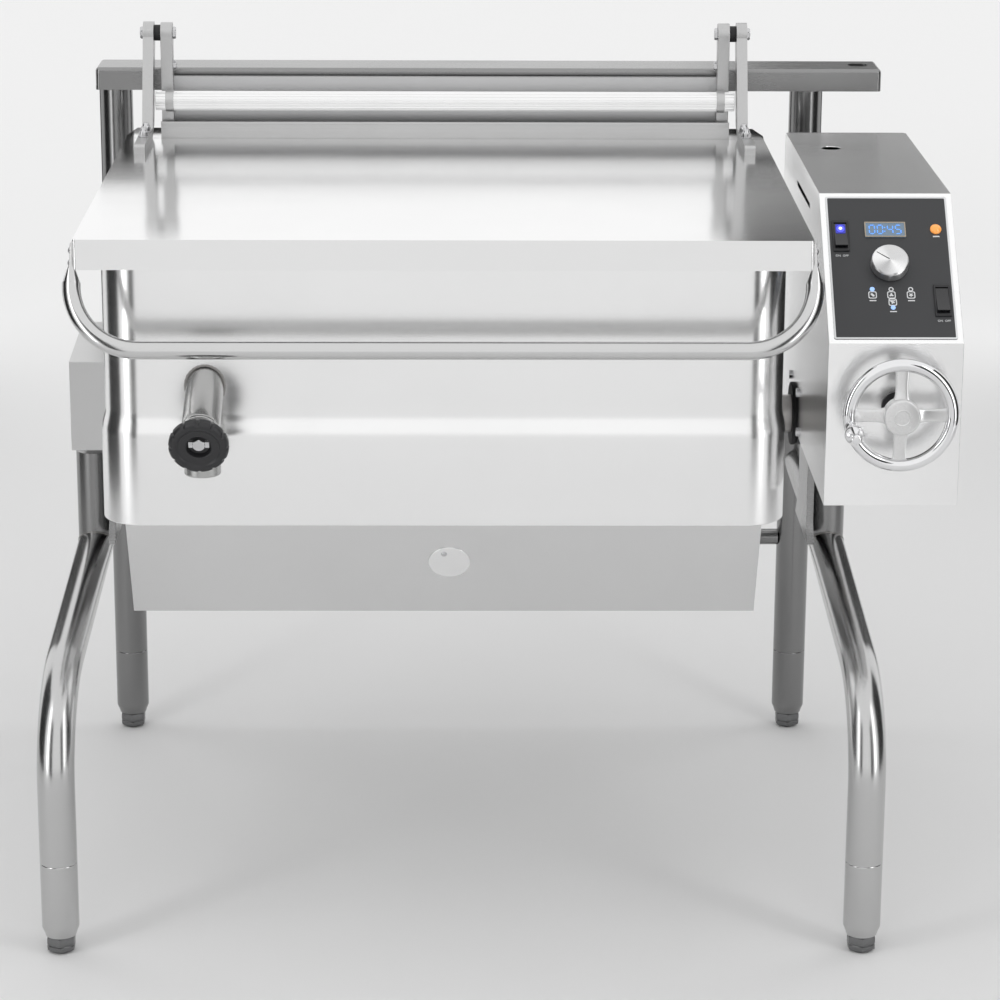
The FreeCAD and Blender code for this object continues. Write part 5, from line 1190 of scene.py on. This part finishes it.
@dataclass
class Lid:
    """The lid, its bail handle and the hinge that carries it."""

    half: float = 480.0
    front: float = -423.0
    rear: float = 366.0
    top: float = 987.0
    skirt: float = 40.0
    lean: float = 29.0
    drop: float = 134.0
    bend: float = 88.0
    rod: float = 12.0
    ear: float = 5.0
    arm_inner: float = 440.0
    arm: float = 16.0
    hinge_y: float = 388.0
    hinge_z: float = 1136.0
    bracket: float = 412.0
    torsion_y: float = 357.0
    torsion_z: float = 1038.0
    torsion: float = 14.5

    def build(self, kept: Kept) -> None:
        """Builds the lid's and the hinge's pieces."""
        kept.dress(Palette.LID, 0.9, "lid_cover")
        self.seams()
        self.rear_lip()
        self.handle()
        kept.dress(Palette.ALLOY, 1.2, "lid_arms", "hinge_brackets")
        kept.dress(Palette.CHANNEL, 0.5, "hinge_panel")
        kept.dress(Palette.RUBBER, 0.5, "hinge_spacers")
        kept.dress(Palette.ALLOY, 0.6, "tube_collars")
        kept.dress(Palette.MACHINED, 0.4, "torsion_bar")
        self.pins()
        self.bolts()
        self.torsion_tube()

    def seams(self) -> None:
        """The welded and ground seams down the lid's two front corners."""
        parts = []
        for sign in (-1, 1):
            x = sign * (self.half - 1.15)
            line = np.linspace([x, self.front + 1.15, self.top - 2.0], [x, self.front + 1.15, self.top - self.skirt + 0.6], 24)
            width = 1.3 + 0.12 * np.sin(np.arange(24) * 1.7)
            parts.append(swept_line(f"lid_seam_{sign}", line, width))
        settle(joined("lid_seams", parts), Palette.HANDLE, "lid", "sheet_steel")

    def rear_lip(self) -> None:
        """The upturned rear edge between the arms: a thin sheet with a folded-over top."""
        y, low, high = self.rear - 2.4, self.top - 0.6, self.top + 18.0
        outline = rounded_profile([(y, low), (y + 1.6, low), (y + 1.6, high), (y - 1.8, high), (y - 1.8, high - 4.0),
                                   (y - 0.3, high - 4.0), (y - 0.3, high - 1.6), (y, high - 1.6)], 0.5, 3, closed=True)
        reach = self.arm_inner - 9.0
        lip = pressed("lid_rear_lip", outline, -reach, reach, "x")
        settle(lip, Palette.COVER, "lid", "sheet_steel")

    def handle(self) -> None:
        """The bail: a round bar bent into a U in a leaning plane, with a flattened ear at each end."""
        lean = math.radians(self.lean)
        down = np.array([0.0, -math.sin(lean), -math.cos(lean)])
        side = self.half + self.ear / 2
        ear = np.array([side, self.front + 23.0, self.top - 19.0])
        start, corner = ear + down * (self.skirt + 4.0), ear + down * self.drop
        flip = np.array([-1.0, 1.0, 1.0])
        line = bent_line([start, corner, corner * flip, start * flip], self.bend, 36)
        bar = swept("bail_bar", line, self.rod, 40)
        parts = [bar]
        for sign in (-1.0, 1.0):
            keep = np.array([sign, 1.0, 1.0])
            u = np.linspace(0, 1, 26)[:, None]
            flat = np.clip((u - 0.55) / 0.45, 0, 1) ** 0.8
            line = (ear - down * 8.0) * (1 - u) + (start + down * 2.0) * u
            half_thick = 2.5 + (self.rod - 2.5) * flat
            half_wide = np.full_like(u, self.rod) * np.sqrt(np.clip(1 - ((0.09 - u) / 0.12) ** 2, 0, 1)) * (u < 0.09) \
                + self.rod * (u >= 0.09)
            half_wide = np.maximum(half_wide, 0.6)
            v = np.linspace(0, 2 * np.pi, 40, endpoint=False)
            wave = np.stack([np.cos(v), np.sin(v)], 1)
            power = (0.35 + 0.65 * flat)[:, :, None]
            section = np.sign(wave)[None] * np.abs(wave)[None] ** power
            across = np.cross([1.0, 0.0, 0.0], down)
            grid = line[:, None] + section[..., :1] * half_wide[:, None] * across \
                + section[..., 1:] * half_thick[:, None] * np.array([1.0, 0, 0])
            parts.append(surface(f"bail_ear_{sign:.0f}", Site.at(grid * keep), sharp=40.0))
        settle(joined("lid_bail", parts), Palette.HANDLE, "lid", "tube_steel", "lid_handle")

    def pins(self) -> None:
        """The hinge pins, their heads and the bolt under each, on the inner side."""
        parts = []
        for sign in (-1.0, 1.0):
            x = sign * (self.bracket - 4.7)
            axle = [(6.0, 0.0), (6.0, self.arm_inner + self.arm + 4.7 - self.bracket)]
            parts.append(turned(f"axle_{sign:.0f}", axle, (x, self.hinge_y, self.hinge_z), (sign, 0, 0), 32))
            parts.append(hex_head(f"axle_head_{sign:.0f}", (sign * self.bracket - sign * 0.2, self.hinge_y, self.hinge_z),
                                  (-sign, 0, 0), 4.6, 16.0))
            parts.append(hex_head(f"axle_nut_{sign:.0f}", (sign * (self.arm_inner + self.arm + 0.3), self.hinge_y, self.hinge_z),
                                  (sign, 0, 0), 4.7, 16.0))
            parts.append(hex_head(f"bracket_bolt_{sign:.0f}", (sign * self.bracket, self.hinge_y - 3, self.hinge_z - 48),
                                  (-sign, 0, 0), 5.0, 12.0))
        settle(joined("hinge_axles", parts), Palette.BOLT, "pan", "bolt_steel", "hinge_pins")

    def bolts(self) -> None:
        """Acorn nuts on the arms' feet and the two screws of each handle ear."""
        parts = []
        foot = self.top + 14.0
        dome = rounded_profile([(6.6, 0.0), (6.6, 6.4), (5.6, 7.4), (5.2, 9.0), (4.4, 11.0), (2.6, 12.3), (0.6, 12.6)], 0.6)
        for sign in (-1.0, 1.0):
            for row in (255.0, 299.0):
                spot = np.array([sign * (self.arm_inner + self.arm / 2), row, foot])
                parts.append(hex_head(f"acorn_hex_{len(parts)}", spot, (0, 0, 1), 6.0, 12.5, 8.0))
                parts.append(turned(f"acorn_dome_{len(parts)}", dome, spot + [0, 0, 1.2], (0, 0, 1), 32))
            lean = math.radians(self.lean)
            for down_by in (0.0, 17.0):
                spot = np.array([sign * (self.half + self.ear), self.front + 23.0 - math.sin(lean) * down_by,
                                 self.top - 19.0 - math.cos(lean) * down_by])
                button = rounded_profile([(4.5, 0.0), (4.5, 1.0), (3.2, 2.4), (1.4, 3.0), (0.4, 3.0)], 0.8)
                parts.append(turned(f"ear_screw_{len(parts)}", button, spot, (sign, 0, 0), 28))
        settle(joined("lid_fasteners", parts), Palette.BOLT, "lid", "bolt_steel", "lid_bolts")

    def torsion_tube(self) -> None:
        """The ribbed tube: a circle whose radius follows a wave of eighteen flat-topped ribs."""
        reach = self.arm_inner - 3.0
        v = np.linspace(0, 2 * np.pi, 18 * 12, endpoint=False)
        wave = np.clip(0.5 + 1.4 * np.cos(18 * v), 0, 1)
        r = self.torsion - 1.1 + 1.1 * wave
        inner = self.torsion - 3.6
        x = np.array([-reach, -reach + 0.5, reach - 0.5, reach])
        shrink = np.array([0.5, 0.0, 0.0, 0.5])
        outside = np.stack([np.broadcast_to(x[:, None], (4, len(v))), self.torsion_y + (r[None] - shrink[:, None]) * np.cos(v),
                            self.torsion_z + (r[None] - shrink[:, None]) * np.sin(v)], 2)
        back = x[::-1]
        inside = np.stack([np.broadcast_to(back[:, None], (4, len(v))), np.broadcast_to(self.torsion_y + inner * np.cos(v), (4, len(v))),
                           np.broadcast_to(self.torsion_z + inner * np.sin(v), (4, len(v)))], 2)
        tube = surface("ribbed_tube", Site.at(np.concatenate([outside, inside])), round_u=True, capped=False, sharp=30.0)
        settle(tube, Palette.REEDED, "pan", "hinge_alloy", "torsion_tube")


def swept_line(name: str, line: Array, width: Array) -> bpy.types.Object:
    """A round bead along a straight line: each ring is r(u) (cos v, sin v) square to the line."""
    side, other, _ = frame_of(line[-1] - line[0])
    v = np.linspace(0, 2 * np.pi, 10, endpoint=False)
    ring = np.cos(v)[:, None] * side + np.sin(v)[:, None] * other
    return surface(name, Site.at(line[:, None] + width[:, None, None] * ring[None]))


# Console and its controls

@dataclass
class Console:
    """The console's sheet housing, its back cover, the screws and the switchgear inside."""

    wheel_across: float = 597.0

    def build(self, kept: Kept) -> None:
        """Finishes the console's pieces."""
        kept.dress(Palette.CONSOLE, 1.1, "console_housing")
        kept.dress(Palette.COVER, 1.1, "left_cover")
        # the back cover takes the darker sheet steel: painted shade
        kept.dress(Palette.SHEET_PAINTED_SHADE, 0.5, "console_back_cover")
        kept.dress(Palette.BOLT, 0.6, "console_screws")
        kept.dress(Palette.MACHINED, 0.4, "bushing_brackets", "worm_shaft")
        kept.dress(Palette.BLACK, 0.4, "shaft_bushings", "rocker_frames")
        kept.dress(Palette.LAMINATE, 0.2, "control_board")
        kept.dress(Palette.CASE, 0.8, "contactors")


SEGMENTS = {
    "0": "abcdef", "1": "bc", "2": "abged", "3": "abgcd", "4": "fgbc", "5": "afgcd", "6": "afgedc", "7": "abc",
    "8": "abcdefg", "9": "abcdfg"}


@dataclass
class Controls:
    """What the sloping control panel carries."""

    origin: tuple = (594.0, -402.0, 846.0)
    rise: tuple = (0.0, 172.0, 166.0)
    half: float = 81.5
    low: float = 6.0
    high: float = 232.99
    skin: float = 0.8
    knob: tuple = (-2.0, 121.0)
    knob_radius: float = 25.0
    display: tuple = (-31.5, 167.0, 23.5, 191.0)
    marks: tuple = ((-27.0, 84.0, 1), (-2.0, 84.0, 1), (24.0, 84.0, 1), (-1.0, 55.0, -1))
    rockers: tuple = ((-64.0, 169.0), (65.0, 66.0))

    def build(self, kept: Kept) -> None:
        """Builds the controls."""
        kept.dress(Palette.FILM, 0.15, "control_panel")
        kept.dress(Palette.GLOSS, 0.5, "power_rocker", "heat_rocker")
        kept.dress(Palette.AMBER, 0.0, "pilot_lamp")
        self.border()
        self.screen()
        self.mode_marks()
        self.rocker_light()
        self.turning_knob()
        self.labels()

    def on_panel(self, obj: bpy.types.Object) -> bpy.types.Object:
        """Moves a mesh drawn flat onto the slope."""
        return placed_on(obj, self.origin, (1.0, 0.0, 0.0), self.rise)

    def plate(self, name: str, outline: Sequence, low: float, high: float) -> bpy.types.Object:
        """A thin plate on the slope, from an outline of (across, up) pairs."""
        return self.on_panel(pressed(name, outline, low, high, "z"))

    def band(self, name: str, outer: Array, inner: Array, low: float, high: float) -> bpy.types.Object:
        """A flat ring between two outlines with the same number of points."""
        rows = [(outer, low), (outer, high), (inner, high), (inner, low)]
        grid = np.stack([np.column_stack([line, np.full(len(line), height)]) for line, height in rows])
        return self.on_panel(surface(name, Site.at(grid), round_u=True, capped=False, sharp=30.0))

    @staticmethod
    def box_line(left: float, low: float, right: float, high: float, corner: float, steps: int = 6) -> Array:
        """A rectangle with round corners: each corner is a quarter circle of the given radius."""
        angle = np.linspace(0, np.pi / 2, steps)
        centres = ((right - corner, high - corner), (left + corner, high - corner),
                   (left + corner, low + corner), (right - corner, low + corner))
        arcs = [np.stack([x + corner * np.cos(angle + k * np.pi / 2), y + corner * np.sin(angle + k * np.pi / 2)], 1)
                for k, (x, y) in enumerate(centres)]
        return np.concatenate(arcs)

    @staticmethod
    def ring_line(across: float, up: float, radius: float, count: int = 24) -> Array:
        """A circle as (across, up) points."""
        v = np.linspace(0, 2 * np.pi, count, endpoint=False)
        return np.stack([across + radius * np.cos(v), up + radius * np.sin(v)], 1)

    def border(self) -> None:
        """The thin bright line round the overlay."""
        outer = self.box_line(-self.half, self.low, self.half, self.high, 3.0)
        inner = self.box_line(-self.half + 2.6, self.low + 2.6, self.half - 2.6, self.high - 2.6, 1.6)
        settle(self.band("overlay_border", outer, inner, self.skin, self.skin + 0.25), Palette.INK, "frame", "overlay_film")

    def screen(self) -> None:
        """The display's pane, its frame and its seven-segment digits."""
        left, low, right, high = self.display
        top = self.skin + 1.4
        pane = self.plate("display_pane", self.box_line(left, low, right, high, 1.0), self.skin, top)
        settle(pane, Palette.PANE, "frame", "display_pane", "display_window")
        outer = self.box_line(left, low, right, high, 1.0)
        inner = self.box_line(left + 1.6, low + 1.6, right - 1.6, high - 1.6, 0.6)
        settle(self.band("display_bezel", outer, inner, top, top + 0.5), Palette.BEZEL, "frame", "display_pane")
        tall, wide, thick = 13.5, 7.0, 1.5
        middle = (low + high) / 2
        spans = {
            "a": ((0.8, tall), (wide - 0.8, tall)), "d": ((0.8, 0), (wide - 0.8, 0)), "g": ((0.8, tall / 2), (wide - 0.8, tall / 2)),
            "f": ((0, tall / 2 + 0.8), (0, tall - 0.8)), "b": ((wide, tall / 2 + 0.8), (wide, tall - 0.8)),
            "e": ((0, 0.8), (0, tall / 2 - 0.8)), "c": ((wide, 0.8), (wide, tall / 2 - 0.8))}
        parts = []
        for place, digit in zip((0.0, 10.8, 24.4, 35.2), "0045"):
            start = np.array([left + 6.4 + place, middle - tall / 2])
            for segment in SEGMENTS[digit]:
                a, b = np.array(spans[segment][0]) + start, np.array(spans[segment][1]) + start
                run = (b - a) / np.linalg.norm(b - a) * thick / 2
                square = np.array([-run[1], run[0]])
                shape = [a - run * 0.2, a + run - square, b - run - square, b + run * 0.2, b - run + square, a + run + square]
                parts.append(self.plate(f"segment_{len(parts)}", shape, top, top + 0.25))
        for up in (middle - 3.0, middle + 3.0):
            parts.append(self.plate(f"colon_{len(parts)}", self.ring_line(left + 27.0, up, 0.95, 12), top, top + 0.25))
        settle(joined("display_digits", parts), Palette.DIGIT, "frame", "display_pane")

    def mode_marks(self) -> None:
        """Four marks: a small lamp over, or under, a rounded frame with a plain sign in it."""
        lit, rings, lines = [], [], []
        base = self.skin
        for number, (u, v, way) in enumerate(self.marks):
            if number in (0, 3):
                lit.append(self.plate(f"lamp_{number}", self.ring_line(u, v, 3.2), base, base + 1.0))
            else:
                rings.append(self.band(f"lamp_{number}", self.ring_line(u, v, 3.4), self.ring_line(u, v, 2.0),
                                       base, base + 0.6))
            low, high = sorted((v - way * 3.2, v - way * 14.5))
            outer = self.box_line(u - 5.6, low, u + 5.6, high, 2.6)
            inner = self.box_line(u - 4.3, low + 1.3, u + 4.3, high - 1.3, 1.7)
            lines.append(self.band(f"mark_frame_{number}", outer, inner, base, base + 0.2))
            middle = (low + high) / 2
            lines.append(self.plate(f"mark_sign_{number}", self.sign(number, u, middle), base, base + 0.2))
            under = v - 17.8 if way > 0 else v - 6.0
            lines.append(self.plate(f"mark_bar_{number}", self.box_line(u - 4.6, under - 0.8, u + 4.6, under + 0.8, 0.4), base,
                                    base + 0.2))
        settle(joined("mode_lights", lit), Palette.LAMP, "frame", "display_pane", "mode_lamps")
        settle(joined("mode_rings", rings), Palette.INK, "frame", "display_pane")
        settle(joined("mode_lines", lines), Palette.INK, "frame", "overlay_film")

    @staticmethod
    def sign(number: int, u: float, v: float) -> Array:
        """A plain sign: r(a) = r0 + r1 cos(k a), a lobed disc whose lobes tell the four marks apart."""
        a = np.linspace(0, 2 * np.pi, 36, endpoint=False)
        lobes = (2, 3, 5, 4)[number]
        r = 2.3 + 0.8 * np.cos(lobes * a + np.pi / 2)
        return np.stack([u + r * np.cos(a), v + r * np.sin(a)], 1)

    def rocker_light(self) -> None:
        """The lit window in the upper half of the power rocker, and the raised bars at each rocker's foot."""
        u, v = self.rockers[0]
        lens = self.plate("rocker_lens", self.box_line(u - 6.6, v + 2.5, u + 6.6, v + 17.2, 2.0), 2.2, 3.8)
        settle(lens, Palette.BLUE, "power_rocker", "lamp_lens")
        halo = self.plate("rocker_halo", self.ring_line(u, v + 10.0, 5.2), 3.7, 3.9)
        settle(halo, Palette.HALO, "power_rocker", "lamp_lens")
        spot = self.plate("rocker_glow", self.ring_line(u, v + 10.5, 2.3), 3.8, 4.1)
        settle(spot, Palette.CORE, "power_rocker", "lamp_lens")

    def turning_knob(self) -> None:
        """The spun knob: a turned cap with a chamfer, whose face falls away a little, and its pointer line."""
        u, v = self.knob
        r = self.knob_radius
        profile = rounded_profile([(3.0, -14.0), (3.0, 1.5), (r - 1.4, 1.4), (r, 2.6), (r, 14.6), (r - 1.2, 16.6), (r - 3.0, 17.4),
                                   (r * 0.5, 17.2), (0.25, 17.0)], 0.8, 4)
        cap = self.on_panel(turned("knob_cap", profile, (u, v, 0.0), (0, 0, 1), 96, 50.0))
        settle(cap, Palette.KNOB, "control_knob", "knob_aluminium", "control_knob")
        angle = math.radians(146.0)
        way = np.array([math.cos(angle), math.sin(angle)])
        square = np.array([-way[1], way[0]]) * 0.55
        a, b = np.array([u, v]) + way * 1.5, np.array([u, v]) + way * 21.5
        line = self.plate("knob_pointer", [a - square, b - square, b + square, a + square], 17.1, 17.45)
        settle(line, Palette.BLACK, "control_knob", "knob_aluminium")

    def word(self, text: str, across: float, up: float, size: float) -> bpy.types.Object:
        """A short word as a raised mesh, centred at a place on the panel."""
        curve = bpy.data.curves.new(f"word_{text}", "FONT")
        curve.body = text
        curve.size = size * MM
        curve.align_x = "CENTER"
        curve.align_y = "CENTER"
        curve.extrude = 0.1 * MM
        curve.resolution_u = 3
        maker = bpy.data.objects.new(f"word_{text}", curve)
        bpy.context.scene.collection.objects.link(maker)
        mesh = bpy.data.meshes.new_from_object(maker.evaluated_get(bpy.context.evaluated_depsgraph_get()))
        bpy.data.objects.remove(maker)
        obj = bpy.data.objects.new(f"word_{text}_{across:.0f}", mesh)
        bpy.context.scene.collection.objects.link(obj)
        mesh.transform(Matrix.Translation(Vector(Site.at((across, up, self.skin + 0.1)))))
        return self.on_panel(obj)

    def labels(self) -> None:
        """ON and OFF under the rockers and a plain bar under the lamp."""
        parts = []
        for u, v in self.rockers:
            parts.append(self.word("ON", u - 5.0, v - 31.5, 4.4))
            parts.append(self.word("OFF", u + 5.0, v - 31.5, 4.4))
        parts.append(self.plate("lamp_bar", self.box_line(59.5, 167.6, 68.5, 169.6, 0.5), self.skin, self.skin + 0.2))
        settle(joined("panel_labels", parts), Palette.INK, "frame", "overlay_film")


# Handwheel

@dataclass
class Handwheel:
    """The plated handwheel with its cast spokes, and the crank that spins on its rim."""

    across: float = 597.0
    height: float = 761.0
    reach: float = 450.0
    radius: float = 67.5
    rim: float = 8.5
    hub: float = 24.0
    crank_angle: float = 191.0
    grip_length: float = 62.0

    @property
    def centre(self) -> Array:
        """The middle of the rim."""
        return np.array([self.across, -self.reach, self.height])

    @property
    def crank(self) -> Array:
        """Where the crank's axis crosses the rim."""
        angle = math.radians(self.crank_angle)
        return self.centre + self.radius * np.array([math.cos(angle), 0.0, math.sin(angle)])

    def build(self, kept: Kept) -> None:
        """Builds the wheel and the crank."""
        v = np.linspace(0, 2 * np.pi, 128, endpoint=False)
        line = self.centre + self.radius * np.stack([np.cos(v), np.zeros_like(v), np.sin(v)], 1)
        rim = swept("wheel_rim", line, self.rim, 40, closed=True)
        settle(rim, Palette.CHROME, "handwheel", "wheel_chrome", "handwheel")
        self.spider()
        self.grip()

    def spider(self) -> None:
        """The hub and its four spokes; each spoke is a section that changes along its length.

        At a share u from hub to rim, its half width is w(u) and its half depth d(u); the section is a
        rounded rectangle, |cos|^p and |sin|^p with p under one.
        """
        hub = rounded_profile([(8.0, -14.0), (19.0, -14.0), (self.hub - 3, -11.0), (self.hub, -4.0), (self.hub, 13.4),
                               (self.hub - 1.6, 15.4), (10.0, 16.0), (0.3, 16.0)], 1.6, 5)
        parts = [turned("wheel_hub", hub, self.centre, (0, -1, 0), 72)]
        raised = rounded_profile([(11.5, 15.6), (11.5, 16.6), (9.8, 16.9), (9.0, 16.2), (8.6, 15.4)], 0.5)
        parts.append(turned("wheel_hub_ring", np.concatenate([raised, raised[:1]]), self.centre, (0, -1, 0), 48))
        u = np.linspace(0, 1, 30)
        v = np.linspace(0, 2 * np.pi, 32, endpoint=False)
        start, end = self.hub - 4.0, self.radius - 3.0
        for number in range(4):
            angle = number * math.pi / 2
            way = np.array([math.cos(angle), 0.0, math.sin(angle)])
            square = np.array([-way[2], 0.0, way[0]])
            half_wide = 9.4 - 0.9 * np.sin(np.pi * u) + 1.6 * np.exp(-(u / 0.10) ** 2)
            half_deep = 4.2 + 1.6 * np.exp(-(u / 0.14) ** 2)
            shift = -1.5 + 3.5 * (1 - u) ** 2
            cosine, sine = np.cos(v), np.sin(v)
            across = np.sign(cosine) * np.abs(cosine) ** 0.45
            depth = np.sign(sine) * np.abs(sine) ** 0.45
            if number >= 2:
                pattern = 0.5 * np.sin(u[:, None] * 46.0) * np.sin(across[None] * 5.0) * (depth > 0.9)[None]
            else:
                pattern = np.zeros((30, 32))
            grid = (self.centre + (start + (end - start) * u)[:, None, None] * way
                    + (half_wide[:, None] * across[None])[..., None] * square
                    + (half_deep[:, None] * depth[None] + pattern + shift[:, None])[..., None] * np.array([0.0, -1.0, 0.0]))
            parts.append(surface(f"wheel_spoke_{number}", Site.at(grid), sharp=45.0))
        settle(joined("wheel_spider", parts), Palette.HUB, "handwheel", "wheel_chrome")

    def grip(self) -> None:
        """The crank's spindle with its collar and end screw, and the pear-shaped grip round it."""
        seat = self.crank - [0.0, self.rim, 0.0]
        collar = rounded_profile([(6.9, -4.0), (6.9, -1.0), (6.5, 2.6), (4.0, 3.0), (4.0, self.grip_length + 3.2),
                                  (6.5, self.grip_length + 3.4), (6.3, self.grip_length + 5.6), (4.2, self.grip_length + 6.9),
                                  (0.3, self.grip_length + 7.0)], 0.8)
        stem = turned("crank_stem", collar, seat, (0, -1, 0), 40)
        settle(stem, Palette.CHROME, "handwheel", "wheel_chrome", "crank_spindle")
        length = self.grip_length
        share = np.linspace(0, 1, 44)
        waist = 5.9 + 6.9 * np.exp(-((share - 0.64) / 0.25) ** 2) + 0.9 * np.exp(-((share - 0.02) / 0.05) ** 2)
        profile = np.column_stack([waist, 0.4 + share * (length - 0.4)])
        inner = [(4.2, length), (4.2, 0.4)]
        profile = np.concatenate([[(4.2, 0.4)], profile, inner])
        handle = turned("crank_handle", profile, seat - [0.0, 3.0, 0.0], (0, -1, 0), 56, 50.0)
        settle(handle, Palette.CHROME, "crank_grip", "wheel_chrome", "crank_grip")


# Room: floor, lights and camera

@dataclass
class Room:
    """A pale floor, soft lights and the camera at the photograph's viewing angle."""

    focal: float = 119.8
    sensor: float = 36.0
    pitch: float = 16.30
    yaw: float = 0.83
    roll: float = 0.27
    stand: tuple = (13.0, -4644.0, 1872.0)

    def build(self) -> None:
        """Builds everything round the machine."""
        self.floor()
        self.cards()
        self.world()
        self.lights()
        self.camera()

    def floor(self) -> None:
        """A very wide pale floor."""
        paint = Finish("floor_paint", (0.93, 0.93, 0.93), 0.95, specular=0.1)
        half = 60.0
        points = np.array([[-half, -half, 0], [half, -half, 0], [half, half, 0], [-half, half, 0]], float)
        mesh = bpy.data.meshes.new("floor")
        mesh.from_pydata(points.tolist(), [], [(0, 1, 2, 3)])
        obj = bpy.data.objects.new("floor", mesh)
        bpy.context.scene.collection.objects.link(obj)
        material = paint.make()
        mesh.materials.append(material)

    def card(self, name: str, shade: float, centre: Point, normal: Point, wide: float, tall: float,
             glow: float = 0.0) -> None:
        """A standing card that only reflections show."""
        side, other, _ = frame_of(normal)
        if abs(other[2]) < abs(side[2]):
            side, other = other, side
        middle = np.asarray(centre, float)
        points = [middle + a * side * wide / 2 + b * other * tall / 2 for a, b in ((-1, -1), (1, -1), (1, 1), (-1, 1))]
        mesh = bpy.data.meshes.new(name)
        mesh.from_pydata([p.tolist() for p in points], [], [(0, 1, 2, 3)])
        obj = bpy.data.objects.new(name, mesh)
        bpy.context.scene.collection.objects.link(obj)
        material = bpy.data.materials.new(name)
        material.use_nodes = True
        shader = material.node_tree.nodes["Principled BSDF"]
        shader.inputs["Base Color"].default_value = (shade, shade, shade, 1.0)
        shader.inputs["Roughness"].default_value = 0.9
        if glow:
            shader.inputs["Emission Color"].default_value = (1.0, 1.0, 1.0, 1.0)
            shader.inputs["Emission Strength"].default_value = glow
        mesh.materials.append(material)
        obj.visible_camera = False
        obj.visible_shadow = False

    def cards(self) -> None:
        """Dark standing cards round the machine, which the steel mirrors as bands; no camera sees them directly."""
        self.card("dark_patch", 0.02, (0.88, 3.0, 1.95), (0.0, -1.0, 0.0), 0.5, 0.5)
        self.card("grey_patch", 0.5, (1.25, 3.2, 2.1), (0.0, -1.0, 0.0), 1.3, 1.7)
        places = ((-1.5, -2.6, 0.7), (1.5, -2.6, 0.7), (-2.3, -0.3, 1.6), (2.3, -0.3, 1.6), (-1.9, 2.4, 0.9), (1.9, 2.4, 0.9))
        for number, (x, y, wide) in enumerate(places):
            self.card(f"dark_card_{number}", 0.02, (x, y, 1.25), (-x, -y * 0.6, 0.0), wide, 2.4)

    def world(self) -> None:
        """A bright, even backdrop."""
        world = bpy.data.worlds.new("studio")
        bpy.context.scene.world = world
        world.use_nodes = True
        world.node_tree.nodes["Background"].inputs["Color"].default_value = (1.0, 1.0, 1.0, 1.0)
        world.node_tree.nodes["Background"].inputs["Strength"].default_value = 1.05

    def lamp(self, name: str, place: Point, aim: Point, wide: float, tall: float, power: float) -> None:
        """A rectangular soft light aimed at a point."""
        data = bpy.data.lights.new(name, "AREA")
        data.shape = "RECTANGLE"
        data.size, data.size_y, data.energy = wide, tall, power
        obj = bpy.data.objects.new(name, data)
        bpy.context.scene.collection.objects.link(obj)
        obj.location = place
        obj.rotation_euler = (Vector(place) - Vector(aim)).to_track_quat("Z", "Y").to_euler()

    def lights(self) -> None:
        """Two tall narrow lights in front of the machine, one at each side."""
        self.lamp("left_strip", (-1.9, -1.75, 1.3), (-0.2, 0.0, 0.8), 0.28, 2.4, 7.0)
        self.lamp("right_strip", (1.9, -1.75, 1.3), (0.2, 0.0, 0.8), 0.28, 2.4, 7.0)

    def camera(self) -> None:
        """The camera, from its pitch, yaw and roll."""
        pitch, yaw, roll = (math.radians(a) for a in (self.pitch, self.yaw, self.roll))
        c, s, cp, sp, cr, sr = (f(a) for a in (yaw, pitch, roll) for f in (math.cos, math.sin))
        right = np.array([c, -s, 0.0])
        forward = np.array([s * cp, c * cp, -sp])
        up = np.array([s * sp, c * sp, cp])
        across, rise = right * cr + up * sr, up * cr - right * sr
        data = bpy.data.cameras.new("camera")
        data.sensor_width, data.sensor_fit, data.lens = self.sensor, "HORIZONTAL", self.focal
        data.clip_end = 200.0
        obj = bpy.data.objects.new("camera", data)
        bpy.context.scene.collection.objects.link(obj)
        place = Site.at(self.stand)
        columns = np.column_stack([across, rise, -forward, place])
        obj.matrix_world = Matrix(np.vstack([columns, [0, 0, 0, 1]]).tolist())
        bpy.context.scene.camera = obj
        bpy.context.scene.view_settings.view_transform = "Standard"


def main() -> None:
    """Builds the machine's classes in order, then the room."""
    logging.basicConfig(level=logging.INFO, format="%(name)s: %(message)s")
    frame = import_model()
    Site.survey()
    kept = Kept(frame["nodes"])
    for assembly in (Stand(), Pan(), Valve(), Lid(), Console(), Controls(), Handwheel()):
        assembly.build(kept)
        log.info("%s done", type(assembly).__name__)
    Room().build()


if __name__ == "__main__":
    main()
